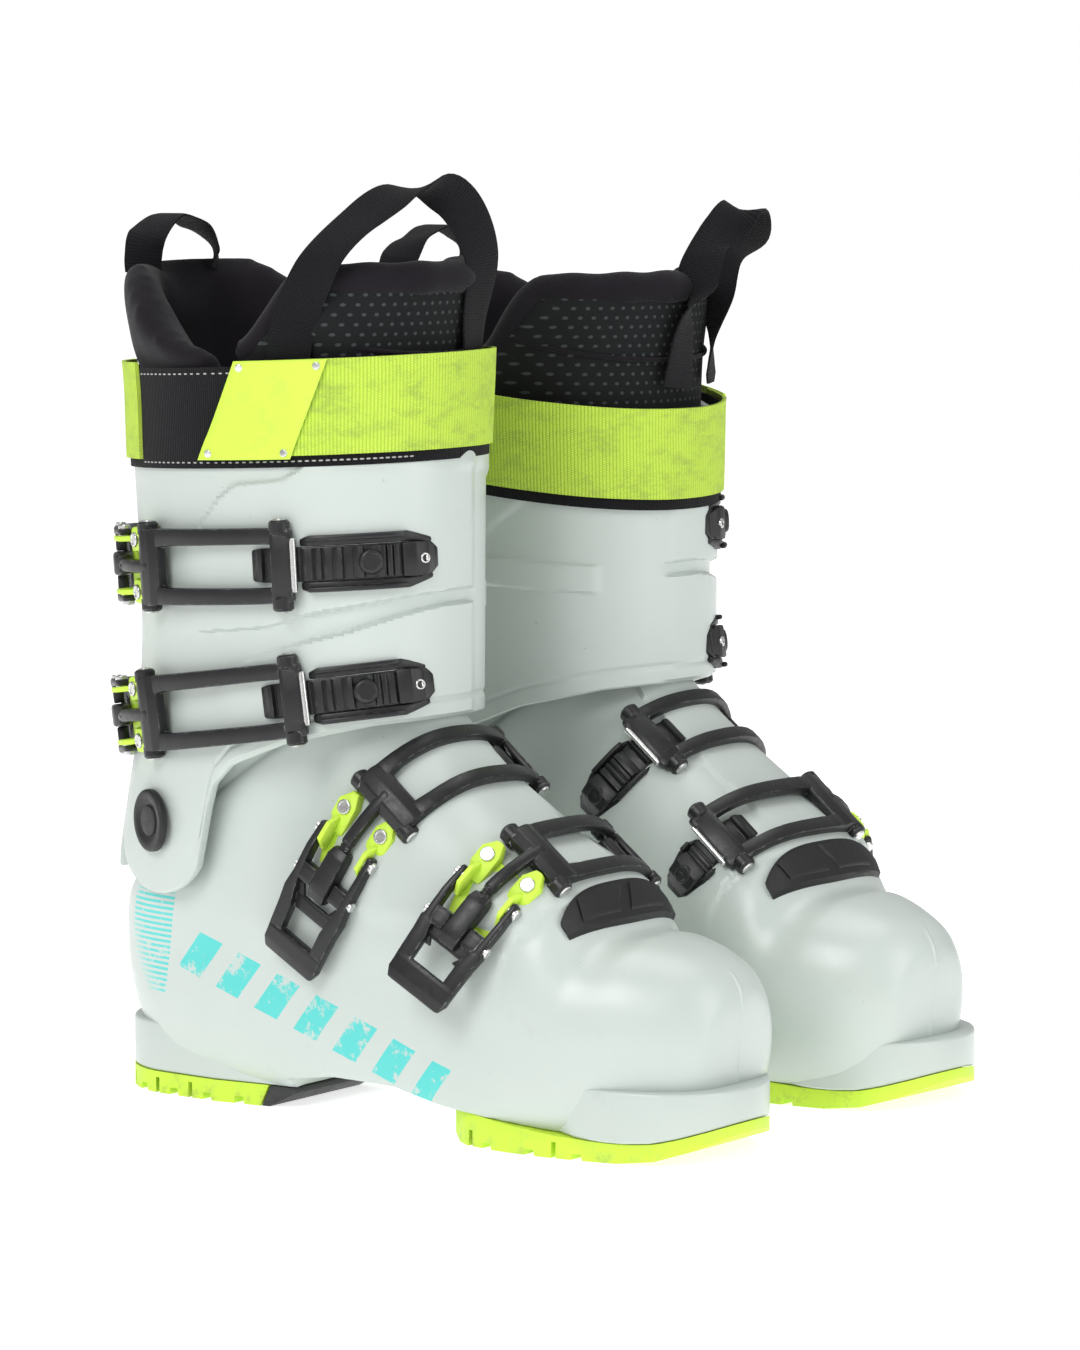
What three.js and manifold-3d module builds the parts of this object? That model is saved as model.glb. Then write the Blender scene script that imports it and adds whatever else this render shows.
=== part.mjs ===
// A pair of alpine ski boots: plastic shells and hinged cuffs, soft liners, screwed soles and ratchet buckles.
// Millimetres, +X to the toes, +Y to the left, +Z up, origin on the floor under the middle of the pair.
// One boot is built in its own frame, with X from the back of the heel, and the left one is its mirror image.
import * as THREE from 'three';
import { mergeVertices } from 'three/addons/utils/BufferGeometryUtils.js';
import Module from 'manifold-3d';

const wasm = await Module();
wasm.setup();

// Driving dimensions.
const SOLE_LENGTH = 310; // heel to toe of the plastic sole, for a 26.5 foot
const LUG_HALF_WIDTH = 34.5; // half of the 69 mm that a binding holds at toe and heel
const HEEL_LEDGE = 30; // height of the ledge that the binding's heel piece presses
const TOE_LEDGE = 29;
const TOE_LUG_RADIUS = 41.5;
const HEEL_SOLE_LENGTH = 90;
const HEEL_FRONT_HALF_WIDTH = 30;
const TOE_SOLE_START = 192;
const SHELL_WALL = 4.5;
const CUFF_WALL = 4;
const FLOOR_UNDER_FOOT = 24; // height of the inside floor of the shell
const LINER_WALL = 7;
const GAP = 0.4; // between touching pieces
const LINER_GAP = 0.8;
const ANKLE = { x: 47, z: 119 }; // the line that the cuff turns on
const HALF_SPACING = 81.5; // from the middle of the pair to the middle of a heel
const TOE_IN = 2.15; // degrees that each boot is turned towards the other
const LENGTH_CENTRE = 152.6; // the pair's middle, measured from the back of the heel

const COLOURS = {
  shell: { color: 0xbcc4c0, roughness: 0.42, metalness: 0 },
  lime: { color: 0xc8f03a, roughness: 0.5, metalness: 0 },
  black: { color: 0x141517, roughness: 0.3, metalness: 0 },
  liner: { color: 0x17161a, roughness: 0.95, metalness: 0 },
  webbing: { color: 0x121214, roughness: 0.9, metalness: 0 },
};

// ---------------------------------------------------------------- solids

function toSolid(geometry) {
  const bare = geometry.clone();
  bare.deleteAttribute('normal');
  bare.deleteAttribute('uv');
  const merged = mergeVertices(bare.index ? bare.toNonIndexed() : bare, 1e-4);
  return new wasm.Manifold(new wasm.Mesh({
    numProp: 3,
    vertProperties: new Float32Array(merged.attributes.position.array),
    triVerts: new Uint32Array(merged.index.array),
  }));
}

function toGeometry(solid) {
  const mesh = solid.getMesh();
  const geometry = new THREE.BufferGeometry();
  geometry.setAttribute('position', new THREE.BufferAttribute(new Float32Array(mesh.vertProperties), 3));
  geometry.setIndex(new THREE.BufferAttribute(new Uint32Array(mesh.triVerts), 1));
  geometry.computeVertexNormals();
  return geometry;
}

const join = (solids) => solids.reduce((whole, next) => whole.add(next));

// A closed body through rings of points, with a flat fan at each end.
function loft(rings) {
  const count = rings[0].length;
  const middle = (ring) => ring.reduce((sum, p) => sum.add(p), new THREE.Vector3()).divideScalar(count);
  const points = [...rings.flat(), middle(rings[0]), middle(rings[rings.length - 1])];
  const at = (ring, k) => ring * count + (k % count);
  const first = rings.length * count;
  const faces = [];
  for (let k = 0; k < count; k++) {
    for (let r = 0; r + 1 < rings.length; r++) {
      faces.push(at(r, k), at(r, k + 1), at(r + 1, k + 1));
      faces.push(at(r, k), at(r + 1, k + 1), at(r + 1, k));
    }
    faces.push(first, at(0, k + 1), at(0, k));
    faces.push(first + 1, at(rings.length - 1, k), at(rings.length - 1, k + 1));
  }
  return toSolid(closedGeometry(points, faces));
}

// Turns the faces outward if the body came out inside out.
function closedGeometry(points, faces) {
  let volume = 0;
  for (let i = 0; i < faces.length; i += 3) {
    const [a, b, c] = [points[faces[i]], points[faces[i + 1]], points[faces[i + 2]]];
    volume += a.dot(new THREE.Vector3().crossVectors(b, c));
  }
  const outward = volume > 0 ? faces : faces.map((_, i) => faces[i - (i % 3) + (2 - (i % 3))]);
  const geometry = new THREE.BufferGeometry();
  geometry.setAttribute('position', new THREE.Float32BufferAttribute(points.flatMap((p) => [p.x, p.y, p.z]), 3));
  geometry.setIndex(outward);
  return geometry;
}

// A flat outline in X and Z, drawn through the whole width of the boot.
function sideSlab(points, halfWidth = 100) {
  const shape = new THREE.Shape(points.map(([x, z]) => new THREE.Vector2(x, z)));
  const slab = new THREE.ExtrudeGeometry(shape, { depth: 2 * halfWidth, bevelEnabled: false });
  slab.rotateX(Math.PI / 2).translate(0, halfWidth, 0);
  return toSolid(slab);
}

// A flat outline in X and Y, from one height to another.
function planSlab(shape, bottom, top) {
  const slab = new THREE.ExtrudeGeometry(shape, { depth: top - bottom, bevelEnabled: false, curveSegments: 10 });
  return toSolid(slab.translate(0, 0, bottom));
}

// ---------------------------------------------------------------- shell sections

// The shell's outside, from the toe over the heel and up the spine. Each section is an egg-shaped ring in the
// plane through its front and back points: [front x, front z, back x, back z, half-width, place of the widest
// point from front to back, squareness in front, squareness behind, shift towards the inner side].
const SHELL_SECTIONS = [
  [303, 60, 301, 36, 11, 0.5, 2, 2, 4],
  [301, 68, 299, 20, 23, 0.5, 2.1, 2.1, 5],
  [294, 76, 291, 6, 32, 0.5, 2.3, 2.3, 5],
  [283, 81, 279, 0, 39, 0.5, 2.4, 2.5, 5],
  [268, 85, 262, 0, 45, 0.52, 2.5, 3, 4],
  [251, 87, 242, 0, 49.5, 0.55, 2.6, 3.4, 3],
  [240, 102.5, 221, 0, 51.5, 0.6, 2.8, 3.6, 2],
  [225, 111.5, 198, 0, 52, 0.62, 3, 3.6, 1],
  [206, 122, 174, 2, 51, 0.62, 3, 3.6, 0],
  [188, 134.5, 150, 3, 49, 0.6, 2.9, 3.4, 0],
  [173, 146, 126, 3, 48, 0.58, 2.7, 3.2, 0],
  [162, 157, 96, 3, 47, 0.55, 2.4, 3, 0],
  [155, 166, 56, 3, 46, 0.55, 2.2, 2.8, 0],
  [150, 172, 26, 6, 45, 0.55, 2.2, 2.6, 0],
  [148, 175, 9, 24, 45, 0.55, 2.2, 2.5, 0],
  [146, 178, 2, 50, 45.5, 0.55, 2.2, 2.5, 0],
  [144, 180, 3, 74, 45.5, 0.55, 2.2, 2.3, 0],
  [142, 182, 12.5, 90, 44, 0.55, 2.2, 2.1, 0],
  [140, 184, 15, 114, 45.5, 0.52, 2.2, 2.2, 0],
  [138, 186, 18, 137, 44.5, 0.5, 2.2, 2.2, 0],
  [136, 188, 23, 160, 43, 0.5, 2.2, 2.2, 0],
];
const SHELL_TOP = SHELL_SECTIONS.length - 1;

// The cuff's outside, from below its lower edge to its rim.
const CUFF_SECTIONS = [
  [150, 78, 1, 76, 53, 0.5, 2.15, 2.5, 0],
  [158, 102, 1, 98, 56, 0.5, 2.15, 2.5, 0],
  [163, 130, 4, 122, 58, 0.5, 2.15, 2.3, 0],
  [164, 163, 9, 157, 58, 0.5, 2.15, 2.15, 0],
  [164, 200, 12, 196, 58.5, 0.5, 2.15, 2.15, 0],
  [164, 228, 11, 232, 59, 0.5, 2.15, 2.15, 0],
  [164, 254, 9, 266, 60, 0.5, 2.15, 2.15, 0],
  [164, 277, 8, 297, 60.5, 0.5, 2.15, 2.15, 0],
];
const CUFF_TOP = CUFF_SECTIONS.length - 1;

// The liner's shaft carries the cuff's shape on above its rim and flares.
const SHAFT_SECTIONS = [
  ...CUFF_SECTIONS,
  [165, 300, 6, 314, 61, 0.5, 2.15, 2.15, 0],
  [166, 325, 4, 331, 62, 0.5, 2.15, 2.15, 0],
  [170, 358, 1, 352, 64, 0.5, 2.15, 2.15, 0],
];
const SHAFT_TOP = SHAFT_SECTIONS.length - 1;

// A smooth curve through the sections; place 2.5 is half-way between the third and the fourth.
function sectionAt(sections, place) {
  const last = sections.length - 1;
  const i = Math.min(Math.max(Math.floor(place), 0), last - 1);
  const u = place - i;
  const [p0, p1, p2, p3] = [i - 1, i, i + 1, i + 2].map((k) => sections[Math.min(Math.max(k, 0), last)]);
  return p1.map((v, k) => {
    const bend = 2 * p0[k] - 5 * p1[k] + 4 * p2[k] - p3[k];
    const twist = -p0[k] + 3 * p1[k] - 3 * p2[k] + p3[k];
    return v + 0.5 * u * (p2[k] - p0[k] + u * (bend + u * twist));
  });
}

// A point on a section: angle 0 is the front, 90 degrees the inner side (+Y) and -90 the outer side.
function sectionPoint(section, angle, inset = 0, raise = 0) {
  const [fx, fz, bx, bz, halfWidth, widest, squareFront, squareBack, sway] = section;
  const length = Math.hypot(bx - fx, bz - fz);
  const along = new THREE.Vector3((bx - fx) / length, 0, (bz - fz) / length);
  const lift = raise > bz ? Math.min((raise - bz) / Math.max(-along.z, 0.35), length / 3) : 0;
  const front = new THREE.Vector3(fx, 0, fz).addScaledVector(along, inset);
  const back = new THREE.Vector3(bx, 0, bz).addScaledVector(along, -(raise ? Math.max(inset, lift) : inset));
  const middle = front.clone().lerp(back, widest);
  const [c, s] = [Math.cos(angle), Math.sin(angle)];
  const power = 2 / (c > 0 ? squareFront : squareBack);
  const reach = Math.sign(c) * Math.abs(c) ** power;
  const side = Math.sign(s) * Math.abs(s) ** power;
  const point = middle.lerp(reach > 0 ? front : back, Math.abs(reach));
  point.y = sway + side * (halfWidth - inset);
  return point;
}

function ring(section, count, inset, raise) {
  return Array.from({ length: count }, (_, k) => sectionPoint(section, (2 * Math.PI * k) / count, inset, raise));
}

// A skin over part of the sections: from one place to another, drawn in by inset.
function skin(sections, from, to, steps, count, inset = 0, raise = 0) {
  const places = Array.from({ length: steps + 1 }, (_, k) => from + ((to - from) * k) / steps);
  return places.map((place) => ring(sectionAt(sections, place), count, inset, raise));
}

// Carries the last ring on in a straight line, so that a cutter opens the end.
function opened(rings, distance) {
  const last = rings[rings.length - 1];
  const before = rings[rings.length - 2];
  const end = last.map((p, k) => p.clone().add(p.clone().sub(before[k]).normalize().multiplyScalar(distance)));
  return [...rings, end];
}

// ---------------------------------------------------------------- soles and lower shell

function heelOutline(inset = 0) {
  const r = LUG_HALF_WIDTH - inset;
  const front = HEEL_SOLE_LENGTH - inset;
  const shape = new THREE.Shape();
  shape.moveTo(front, HEEL_FRONT_HALF_WIDTH - inset);
  shape.lineTo(62, r);
  shape.absarc(LUG_HALF_WIDTH, 0, r, Math.PI / 2, 1.5 * Math.PI);
  shape.lineTo(62, -r);
  shape.lineTo(front, inset - HEEL_FRONT_HALF_WIDTH);
  return shape;
}

function toeOutline(inset = 0) {
  const r = TOE_LUG_RADIUS - inset;
  const centre = SOLE_LENGTH - TOE_LUG_RADIUS;
  const corner = Math.asin((LUG_HALF_WIDTH - inset) / r);
  const side = [[262, 42], [240, 46], [218, 47], [203, 45], [TOE_SOLE_START, 38]];
  const shape = new THREE.Shape();
  shape.moveTo(TOE_SOLE_START + inset, inset - 38);
  for (const [x, y] of side.slice(0, -1).reverse()) shape.lineTo(x, inset - y);
  shape.absarc(centre, 0, r, -corner, corner);
  for (const [x, y] of side.slice(0, -1)) shape.lineTo(x, y - inset);
  shape.lineTo(TOE_SOLE_START + inset, 38 - inset);
  return shape;
}

// Where plastic and rubber meet: flat over the heel, arched in the middle, and dipping then rising at the toe.
const HEEL_JOINT = 9;
const TOE_JOINT = [[TOE_SOLE_START, 15], [225, 11.5], [262, 8], [284, 8], [298, 11.5], [312, 16.5]];
const ARCH = [[HEEL_SOLE_LENGTH + 2, 14], [130, 19], [168, 20]];

function heelSole() {
  const grooves = [22, 40, 58].flatMap((x) => [[x - 2.5, 0], [x - 2, 3], [x + 2, 3], [x + 2.5, 0]]);
  const side = [[8, 0], ...grooves, [82, 0], [HEEL_SOLE_LENGTH, 4], [HEEL_SOLE_LENGTH, HEEL_JOINT], [0, HEEL_JOINT], [0, 7]];
  return planSlab(heelOutline(), -1, 12).intersect(sideSlab(side));
}

function toeSole() {
  const grooves = [214, 235, 256].flatMap((x) => [[x - 2.5, 0], [x - 2, 2.5], [x + 2, 2.5], [x + 2.5, 0]]);
  const rocker = [[272, 0], [288, 2], [300, 6], [312, 12.5]];
  const side = [[TOE_SOLE_START, 3], [196, 0], ...grooves, ...rocker, ...TOE_JOINT.slice().reverse()];
  return planSlab(toeOutline(), -1, 20).intersect(sideSlab(side));
}

// The hollow for the liner: the section it starts at and how finely it is drawn.
const CAVITY_START = 2;
const CAVITY_STEPS = 13;
const CAVITY_COUNT = 16;

function lowerShell() {
  const outside = join([
    loft(skin(SHELL_SECTIONS, 0, SHELL_TOP, 21, 20)),
    planSlab(heelOutline(0.2), 2, HEEL_LEDGE),
    planSlab(toeOutline(0.2), 2, TOE_LEDGE).intersect(sideSlab([[250, 0], [312, 0], [312, 40], [250, 40]])),
  ]);
  const cavity = skin(SHELL_SECTIONS, CAVITY_START, SHELL_TOP, CAVITY_STEPS, CAVITY_COUNT, SHELL_WALL, FLOOR_UNDER_FOOT);
  const inside = loft(opened(cavity, 6));
  const raised = [...TOE_JOINT].reverse().map(([x, z]) => [x, z + GAP]);
  const heel = HEEL_JOINT + GAP;
  const below = sideSlab([
    [-10, -10], [320, -10], [320, 17], ...raised, [TOE_SOLE_START - GAP, 15 + GAP], ...[...ARCH].reverse(),
    [HEEL_SOLE_LENGTH + GAP, heel], [-10, heel],
  ].filter((p, i, all) => i === 0 || p[0] !== all[i - 1][0] || p[1] !== all[i - 1][1]));
  return outside.subtract(inside).subtract(below).subtract(toeInsertBody(GAP)).subtract(rivetShafts(GAP));
}

// The black plate that closes the step above the toes.
function toeInsertBody(margin) {
  const shape = new THREE.Shape();
  const [low, high, tall] = [33 + margin, 20 + margin, 10 + margin];
  shape.moveTo(-low, -tall);
  shape.lineTo(low, -tall);
  shape.lineTo(high, tall);
  shape.lineTo(-high, tall);
  const plate = new THREE.ExtrudeGeometry(shape, { depth: 4 + margin, bevelEnabled: false });
  plate.rotateZ(Math.PI / 2).translate(0, 0, -2 - margin);
  plate.rotateY(THREE.MathUtils.degToRad(43)).translate(246.5, 1, 92.8);
  return toSolid(plate);
}

// ---------------------------------------------------------------- cuff and its rivets

const RIVET_AXIS_TILT = THREE.MathUtils.degToRad(22.5); // the cuff faces a little rearward at the ankle

function cylinder(radius, from, to, axis, origin, sides = 12) {
  const rod = new THREE.CylinderGeometry(radius, radius, to - from, sides);
  rod.translate(0, (from + to) / 2, 0);
  rod.applyQuaternion(new THREE.Quaternion().setFromUnitVectors(new THREE.Vector3(0, 1, 0), axis));
  return toSolid(rod.translate(origin.x, origin.y, origin.z));
}

// The outward direction of the rivet on one side: -1 is the outer side of the boot, +1 the inner one.
function rivetAxis(side) {
  return new THREE.Vector3(-Math.sin(RIVET_AXIS_TILT), side * Math.cos(RIVET_AXIS_TILT), 0);
}

function rivetShafts(margin) {
  return join([-1, 1].map((side) => cylinder(5 + margin, -8, 12, rivetAxis(side), rivetSeat(side))));
}

// Where the rivet's head rests on the cuff.
function rivetSeat(side) {
  const section = sectionAt(CUFF_SECTIONS, 1.62);
  let best = sectionPoint(section, side * 2);
  for (let angle = 1.6; angle < 2.8; angle += 0.005) {
    const point = sectionPoint(section, side * angle);
    if (Math.abs(point.x - ANKLE.x) < Math.abs(best.x - ANKLE.x)) best = point;
  }
  return new THREE.Vector3(ANKLE.x, best.y, ANKLE.z);
}

function pivotRivet(side) {
  const seat = rivetSeat(side);
  const axis = rivetAxis(side);
  return cylinder(13, 1, 3.4, axis, seat, 18).add(cylinder(5, -7.5, 2, axis, seat));
}

// The cuff's lower edge from the back, round the ear at the ankle and up to the front.
function cuffEdge() {
  const ear = Array.from({ length: 6 }, (_, k) => {
    const angle = THREE.MathUtils.degToRad(-100 + k * 19);
    return [ANKLE.x + 30 * Math.cos(angle), ANKLE.z + 30 * Math.sin(angle)];
  });
  return [[-20, 96], [16, 96], ...ear, [80, 134], [92, 147], [118, 159], [150, 169], [190, 176]];
}

function cuff() {
  const outside = loft(skin(CUFF_SECTIONS, 0, CUFF_TOP, 7, 24));
  const lowest = ring(CUFF_SECTIONS[0], 24, CUFF_WALL).map((p) => p.setZ(p.z - 30));
  const inside = loft([lowest, ...opened(skin(CUFF_SECTIONS, 0, CUFF_TOP, 7, 24, CUFF_WALL), 6)]);
  const below = sideSlab([...cuffEdge(), [190, 40], [-20, 40]]);
  return outside.subtract(inside).subtract(below).subtract(rivetShafts(GAP));
}

// ---------------------------------------------------------------- liner, tongue, loops and strap

function linerFoot() {
  const outer = SHELL_WALL + LINER_GAP;
  const floor = FLOOR_UNDER_FOOT + LINER_GAP;
  const rings = skin(SHELL_SECTIONS, CAVITY_START, SHELL_TOP, CAVITY_STEPS, CAVITY_COUNT, outer, floor);
  const last = rings.length - 1;
  rings[0] = rings[0].map((p, k) => p.clone().lerp(rings[1][k], 0.08));
  rings[last] = rings[last].map((p, k) => p.clone().lerp(rings[last - 1][k], 0.4));
  const inner = outer + LINER_WALL;
  const space = skin(SHELL_SECTIONS, CAVITY_START + 1, SHELL_TOP, CAVITY_STEPS - 3, 12, inner, floor + LINER_WALL);
  return loft(rings).subtract(loft(opened(space, 6)));
}

const LINER_DROP = { right: 0, left: 10 }; // the left liner has settled lower
const TONGUE_HALF_ANGLE = THREE.MathUtils.degToRad(72);
const SHAFT_BOTTOM = [[-20, 176], [60, 184], [200, 212]];

function shaftTube(inset, thickness, top) {
  const outside = loft(skin(SHAFT_SECTIONS, 3, SHAFT_TOP, SHAFT_TOP - 3, 24, inset));
  const inside = loft(opened(skin(SHAFT_SECTIONS, 2.6, SHAFT_TOP, 4, 20, inset + thickness), 10));
  const keep = sideSlab([...SHAFT_BOTTOM, ...top]);
  return outside.subtract(inside).intersect(keep);
}

// A wedge seen from above that holds the front of the shaft.
function frontWedge(halfAngle, grow) {
  const centre = 70;
  const reach = 130;
  const shape = new THREE.Shape();
  shape.moveTo(centre - grow / Math.sin(halfAngle), 0);
  shape.lineTo(centre + reach, -Math.tan(halfAngle) * (reach + grow / Math.sin(halfAngle)));
  shape.lineTo(centre + reach, Math.tan(halfAngle) * (reach + grow / Math.sin(halfAngle)));
  return planSlab(shape, 150, 380);
}

function linerShaft(drop) {
  const top = [[200, 318], [92, 318], [64, 332], [28, 346], [-20, 346]];
  const tube = shaftTube(CUFF_WALL + 1, 9, top.map(([x, z]) => [x, z - drop]));
  return tube.subtract(frontWedge(TONGUE_HALF_ANGLE, 0.5));
}

function tongue(drop) {
  const top = [[200, 353], [128, 354], [106, 350], [94, 338], [84, 320]];
  const tube = shaftTube(CUFF_WALL + 1, 8, top.map(([x, z]) => [x, z - drop]));
  return tube.intersect(frontWedge(TONGUE_HALF_ANGLE, 0)).intersect(planSlab(slabOutline(84, 200), 150, 400));
}

function slabOutline(from, to) {
  const shape = new THREE.Shape();
  shape.moveTo(from, -90);
  shape.lineTo(to, -90);
  shape.lineTo(to, 90);
  shape.lineTo(from, 90);
  return shape;
}

// A flat band of webbing along a route, with its width along the given directions.
function band(route, widths, halfWidth, thickness, steps) {
  const middle = new THREE.CatmullRomCurve3(route);
  const across = new THREE.CatmullRomCurve3(widths);
  const rings = [];
  for (let k = 0; k <= steps; k++) {
    const point = middle.getPoint(k / steps);
    const wide = across.getPoint(k / steps).normalize();
    const flat = new THREE.Vector3().crossVectors(wide, middle.getTangent(k / steps)).normalize();
    const corner = (a, b) => point.clone().addScaledVector(wide, a * halfWidth).addScaledVector(flat, (b * thickness) / 2);
    rings.push([corner(1, 1), corner(-1, 1), corner(-1, -1), corner(1, -1)]);
  }
  return loft(rings);
}

// A place on the tongue's outer face, under the strap, and the level direction there.
function tonguePlace(place, angle) {
  const section = sectionAt(SHAFT_SECTIONS, place);
  const level = sectionPoint(section, angle + 0.05, 2.2).sub(sectionPoint(section, angle - 0.05, 2.2)).setZ(0);
  return { point: sectionPoint(section, angle, 2.2), level: level.normalize() };
}

// The loops that pull the tongues are not held the same way: where each leg is sewn, round the tongue's
// front, and how the band stands between them.
const TONGUE_LOOPS = {
  right: {
    legs: [[-1.15, -1.1, -0.95], [0.2, 0.2, 0.2]],
    arch: [[144, -34, 370], [153, -18, 379], [162, 0, 376]],
    turns: [[0.85, 0.5, 0], [1, 0.2, 0], [0.9, 0.4, 0.1]],
  },
  left: {
    legs: [[0.05, 0, -0.1], [-0.45, -0.45, -0.45]],
    arch: [[174, -8, 366], [180, -20, 376], [174, -30, 366]],
    turns: [[0.4, -0.9, 0], [0.9, -0.4, 0], [0.5, -0.8, 0]],
  },
};

function tongueLoop(side) {
  const { legs, arch, turns } = TONGUE_LOOPS[side];
  const [start, end] = legs.map((angles) => [8.05, 9, 9.8].map((place, k) => tonguePlace(place, angles[k])));
  const top = arch.map((p, k) => ({ point: new THREE.Vector3(...p), level: new THREE.Vector3(...turns[k]) }));
  const all = [...start, ...top, ...end.reverse()];
  return band(all.map((p) => p.point), all.map((p) => p.level), 9, 1.6, 14).translate([0, 0, -LINER_DROP[side]]);
}

// The loop at the back of the collar, sewn to its upper edge.
function rearLoop(drop) {
  const arch = [[16, -22, 347], [17, -20, 358], [17, -6, 366], [17.5, 10, 361], [18, 19, 354], [18, 22, 347]];
  const turns = [[0.5, 0.9, 0], [0.7, 0.7, 0.2], [1, 0, 0], [0.9, -0.3, 0.2], [0.7, -0.7, 0.1], [0.5, -0.9, 0]];
  const vectors = (list) => list.map((p) => new THREE.Vector3(...p));
  return band(vectors(arch), vectors(turns), 8, 1.6, 12).translate([0, 0, -drop]);
}

// The strap's lower edge: its heights at the back and at the front. The left boot's is worn lower.
const STRAP_WIDTH = 39;
const STRAP_HEIGHTS = { right: { back: 266, front: 275 }, left: { back: 261.4, front: 244.7 } };
const STRAP_THICKNESS = 2.6;

// A slanted slice of the boot between two heights above the strap's lower edge.
function strapSlice({ back, front }, low, high) {
  const slope = (front - back) / 160;
  const edge = (x, rise) => [x, back + slope * x + rise];
  return sideSlab([edge(-30, low), edge(200, low), edge(200, high), edge(-30, high)]);
}

function strapSkin(inset) {
  return skin(SHAFT_SECTIONS, 5, 9, 4, 24, inset);
}

function powerStrap(heights) {
  const band = loft(strapSkin(-0.7 - STRAP_THICKNESS)).subtract(loft(opened(strapSkin(-0.7), 20)));
  return band.intersect(strapSlice(heights, 0, STRAP_WIDTH));
}

// The stiff slanted tab over the strap's end, on the outer side.
function strapTab(heights) {
  const clear = -1.1 - STRAP_THICKNESS;
  const plate = loft(strapSkin(clear - 1.8)).subtract(loft(opened(strapSkin(clear), 20)));
  const slant = sideSlab([[92, 220], [120, 220], [150, 330], [122, 330]].map(([x, z]) => [x - 8, z]));
  return plate.intersect(strapSlice(heights, -0.5, STRAP_WIDTH + 0.5)).intersect(slant)
    .intersect(planSlab(outerHalf(), 200, 400));
}

function outerHalf() {
  const shape = new THREE.Shape();
  shape.moveTo(0, -120);
  shape.lineTo(200, -120);
  shape.lineTo(200, -20);
  shape.lineTo(0, -20);
  return shape;
}

// ---------------------------------------------------------------- buckles

// The line that a buckle lies on: where a plane cuts the skin, from one angle to another round the sections.
function girth(sections, places, plane, from, to) {
  const points = [];
  for (let k = 0; k <= LINE_STEPS; k++) {
    const angle = THREE.MathUtils.degToRad(from + ((to - from) * k) / LINE_STEPS);
    let [low, high] = places;
    const side = (place) => plane.distanceToPoint(sectionPoint(sectionAt(sections, place), angle));
    const lowSign = Math.sign(side(low));
    for (let n = 0; n < 30; n++) {
      const place = (low + high) / 2;
      if (Math.sign(side(place)) === lowSign) low = place;
      else high = place;
    }
    points.push(sectionPoint(sectionAt(sections, low), angle));
  }
  return points;
}

// Measures along a girth line: a place s mm along it, w mm across it and h mm out from it.
function layout(points, across, pivot) {
  const lengths = [0];
  for (let k = 1; k < points.length; k++) lengths.push(lengths[k - 1] + points[k].distanceTo(points[k - 1]));
  const start = lengths[pivot];
  const frameAt = (s) => {
    const want = Math.min(Math.max(s + start, 0), lengths[lengths.length - 1]);
    let k = lengths.findIndex((length) => length >= want);
    k = Math.max(k, 1);
    const u = (want - lengths[k - 1]) / (lengths[k] - lengths[k - 1]);
    const origin = points[k - 1].clone().lerp(points[k], u);
    const ahead = points[Math.min(k + 1, points.length - 1)];
    const behind = points[Math.max(k - 2, 0)];
    const along = ahead.clone().sub(behind).normalize();
    origin.addScaledVector(along, s + start - want);
    return { origin, along, out: new THREE.Vector3().crossVectors(across, along).normalize() };
  };
  return (s, w, h) => {
    const { origin, out } = frameAt(s);
    return origin.addScaledVector(across, w).addScaledVector(out, h);
  };
}

// A straight-sided bar laid on a buckle's line: [s from, s to], [w from, w to], [h from, h to].
function bar(place, [s0, s1], [w0, w1], [h0, h1], steps = 1) {
  const rings = [];
  for (let k = 0; k <= steps; k++) {
    const s = s0 + ((s1 - s0) * k) / steps;
    rings.push([place(s, w0, h0), place(s, w1, h0), place(s, w1, h1), place(s, w0, h1)]);
  }
  return loft(rings);
}

// A straight local frame at a point of the line, turned about the outward direction.
function tangentPlace(place, s, turn, curve) {
  const origin = place(s, 0, 0);
  const along = place(s + 4, 0, 0).sub(place(s - 4, 0, 0)).normalize();
  const across = place(s, 1, 0).sub(origin).normalize();
  const out = new THREE.Vector3().crossVectors(across, along).normalize();
  along.applyAxisAngle(out, turn);
  across.applyAxisAngle(out, turn);
  return (a, w, h) => {
    const angle = a / curve;
    const radius = curve + h;
    return origin.clone().addScaledVector(along, radius * Math.sin(angle)).addScaledVector(across, w)
      .addScaledVector(out, radius * Math.cos(angle) - curve);
  };
}

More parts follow.
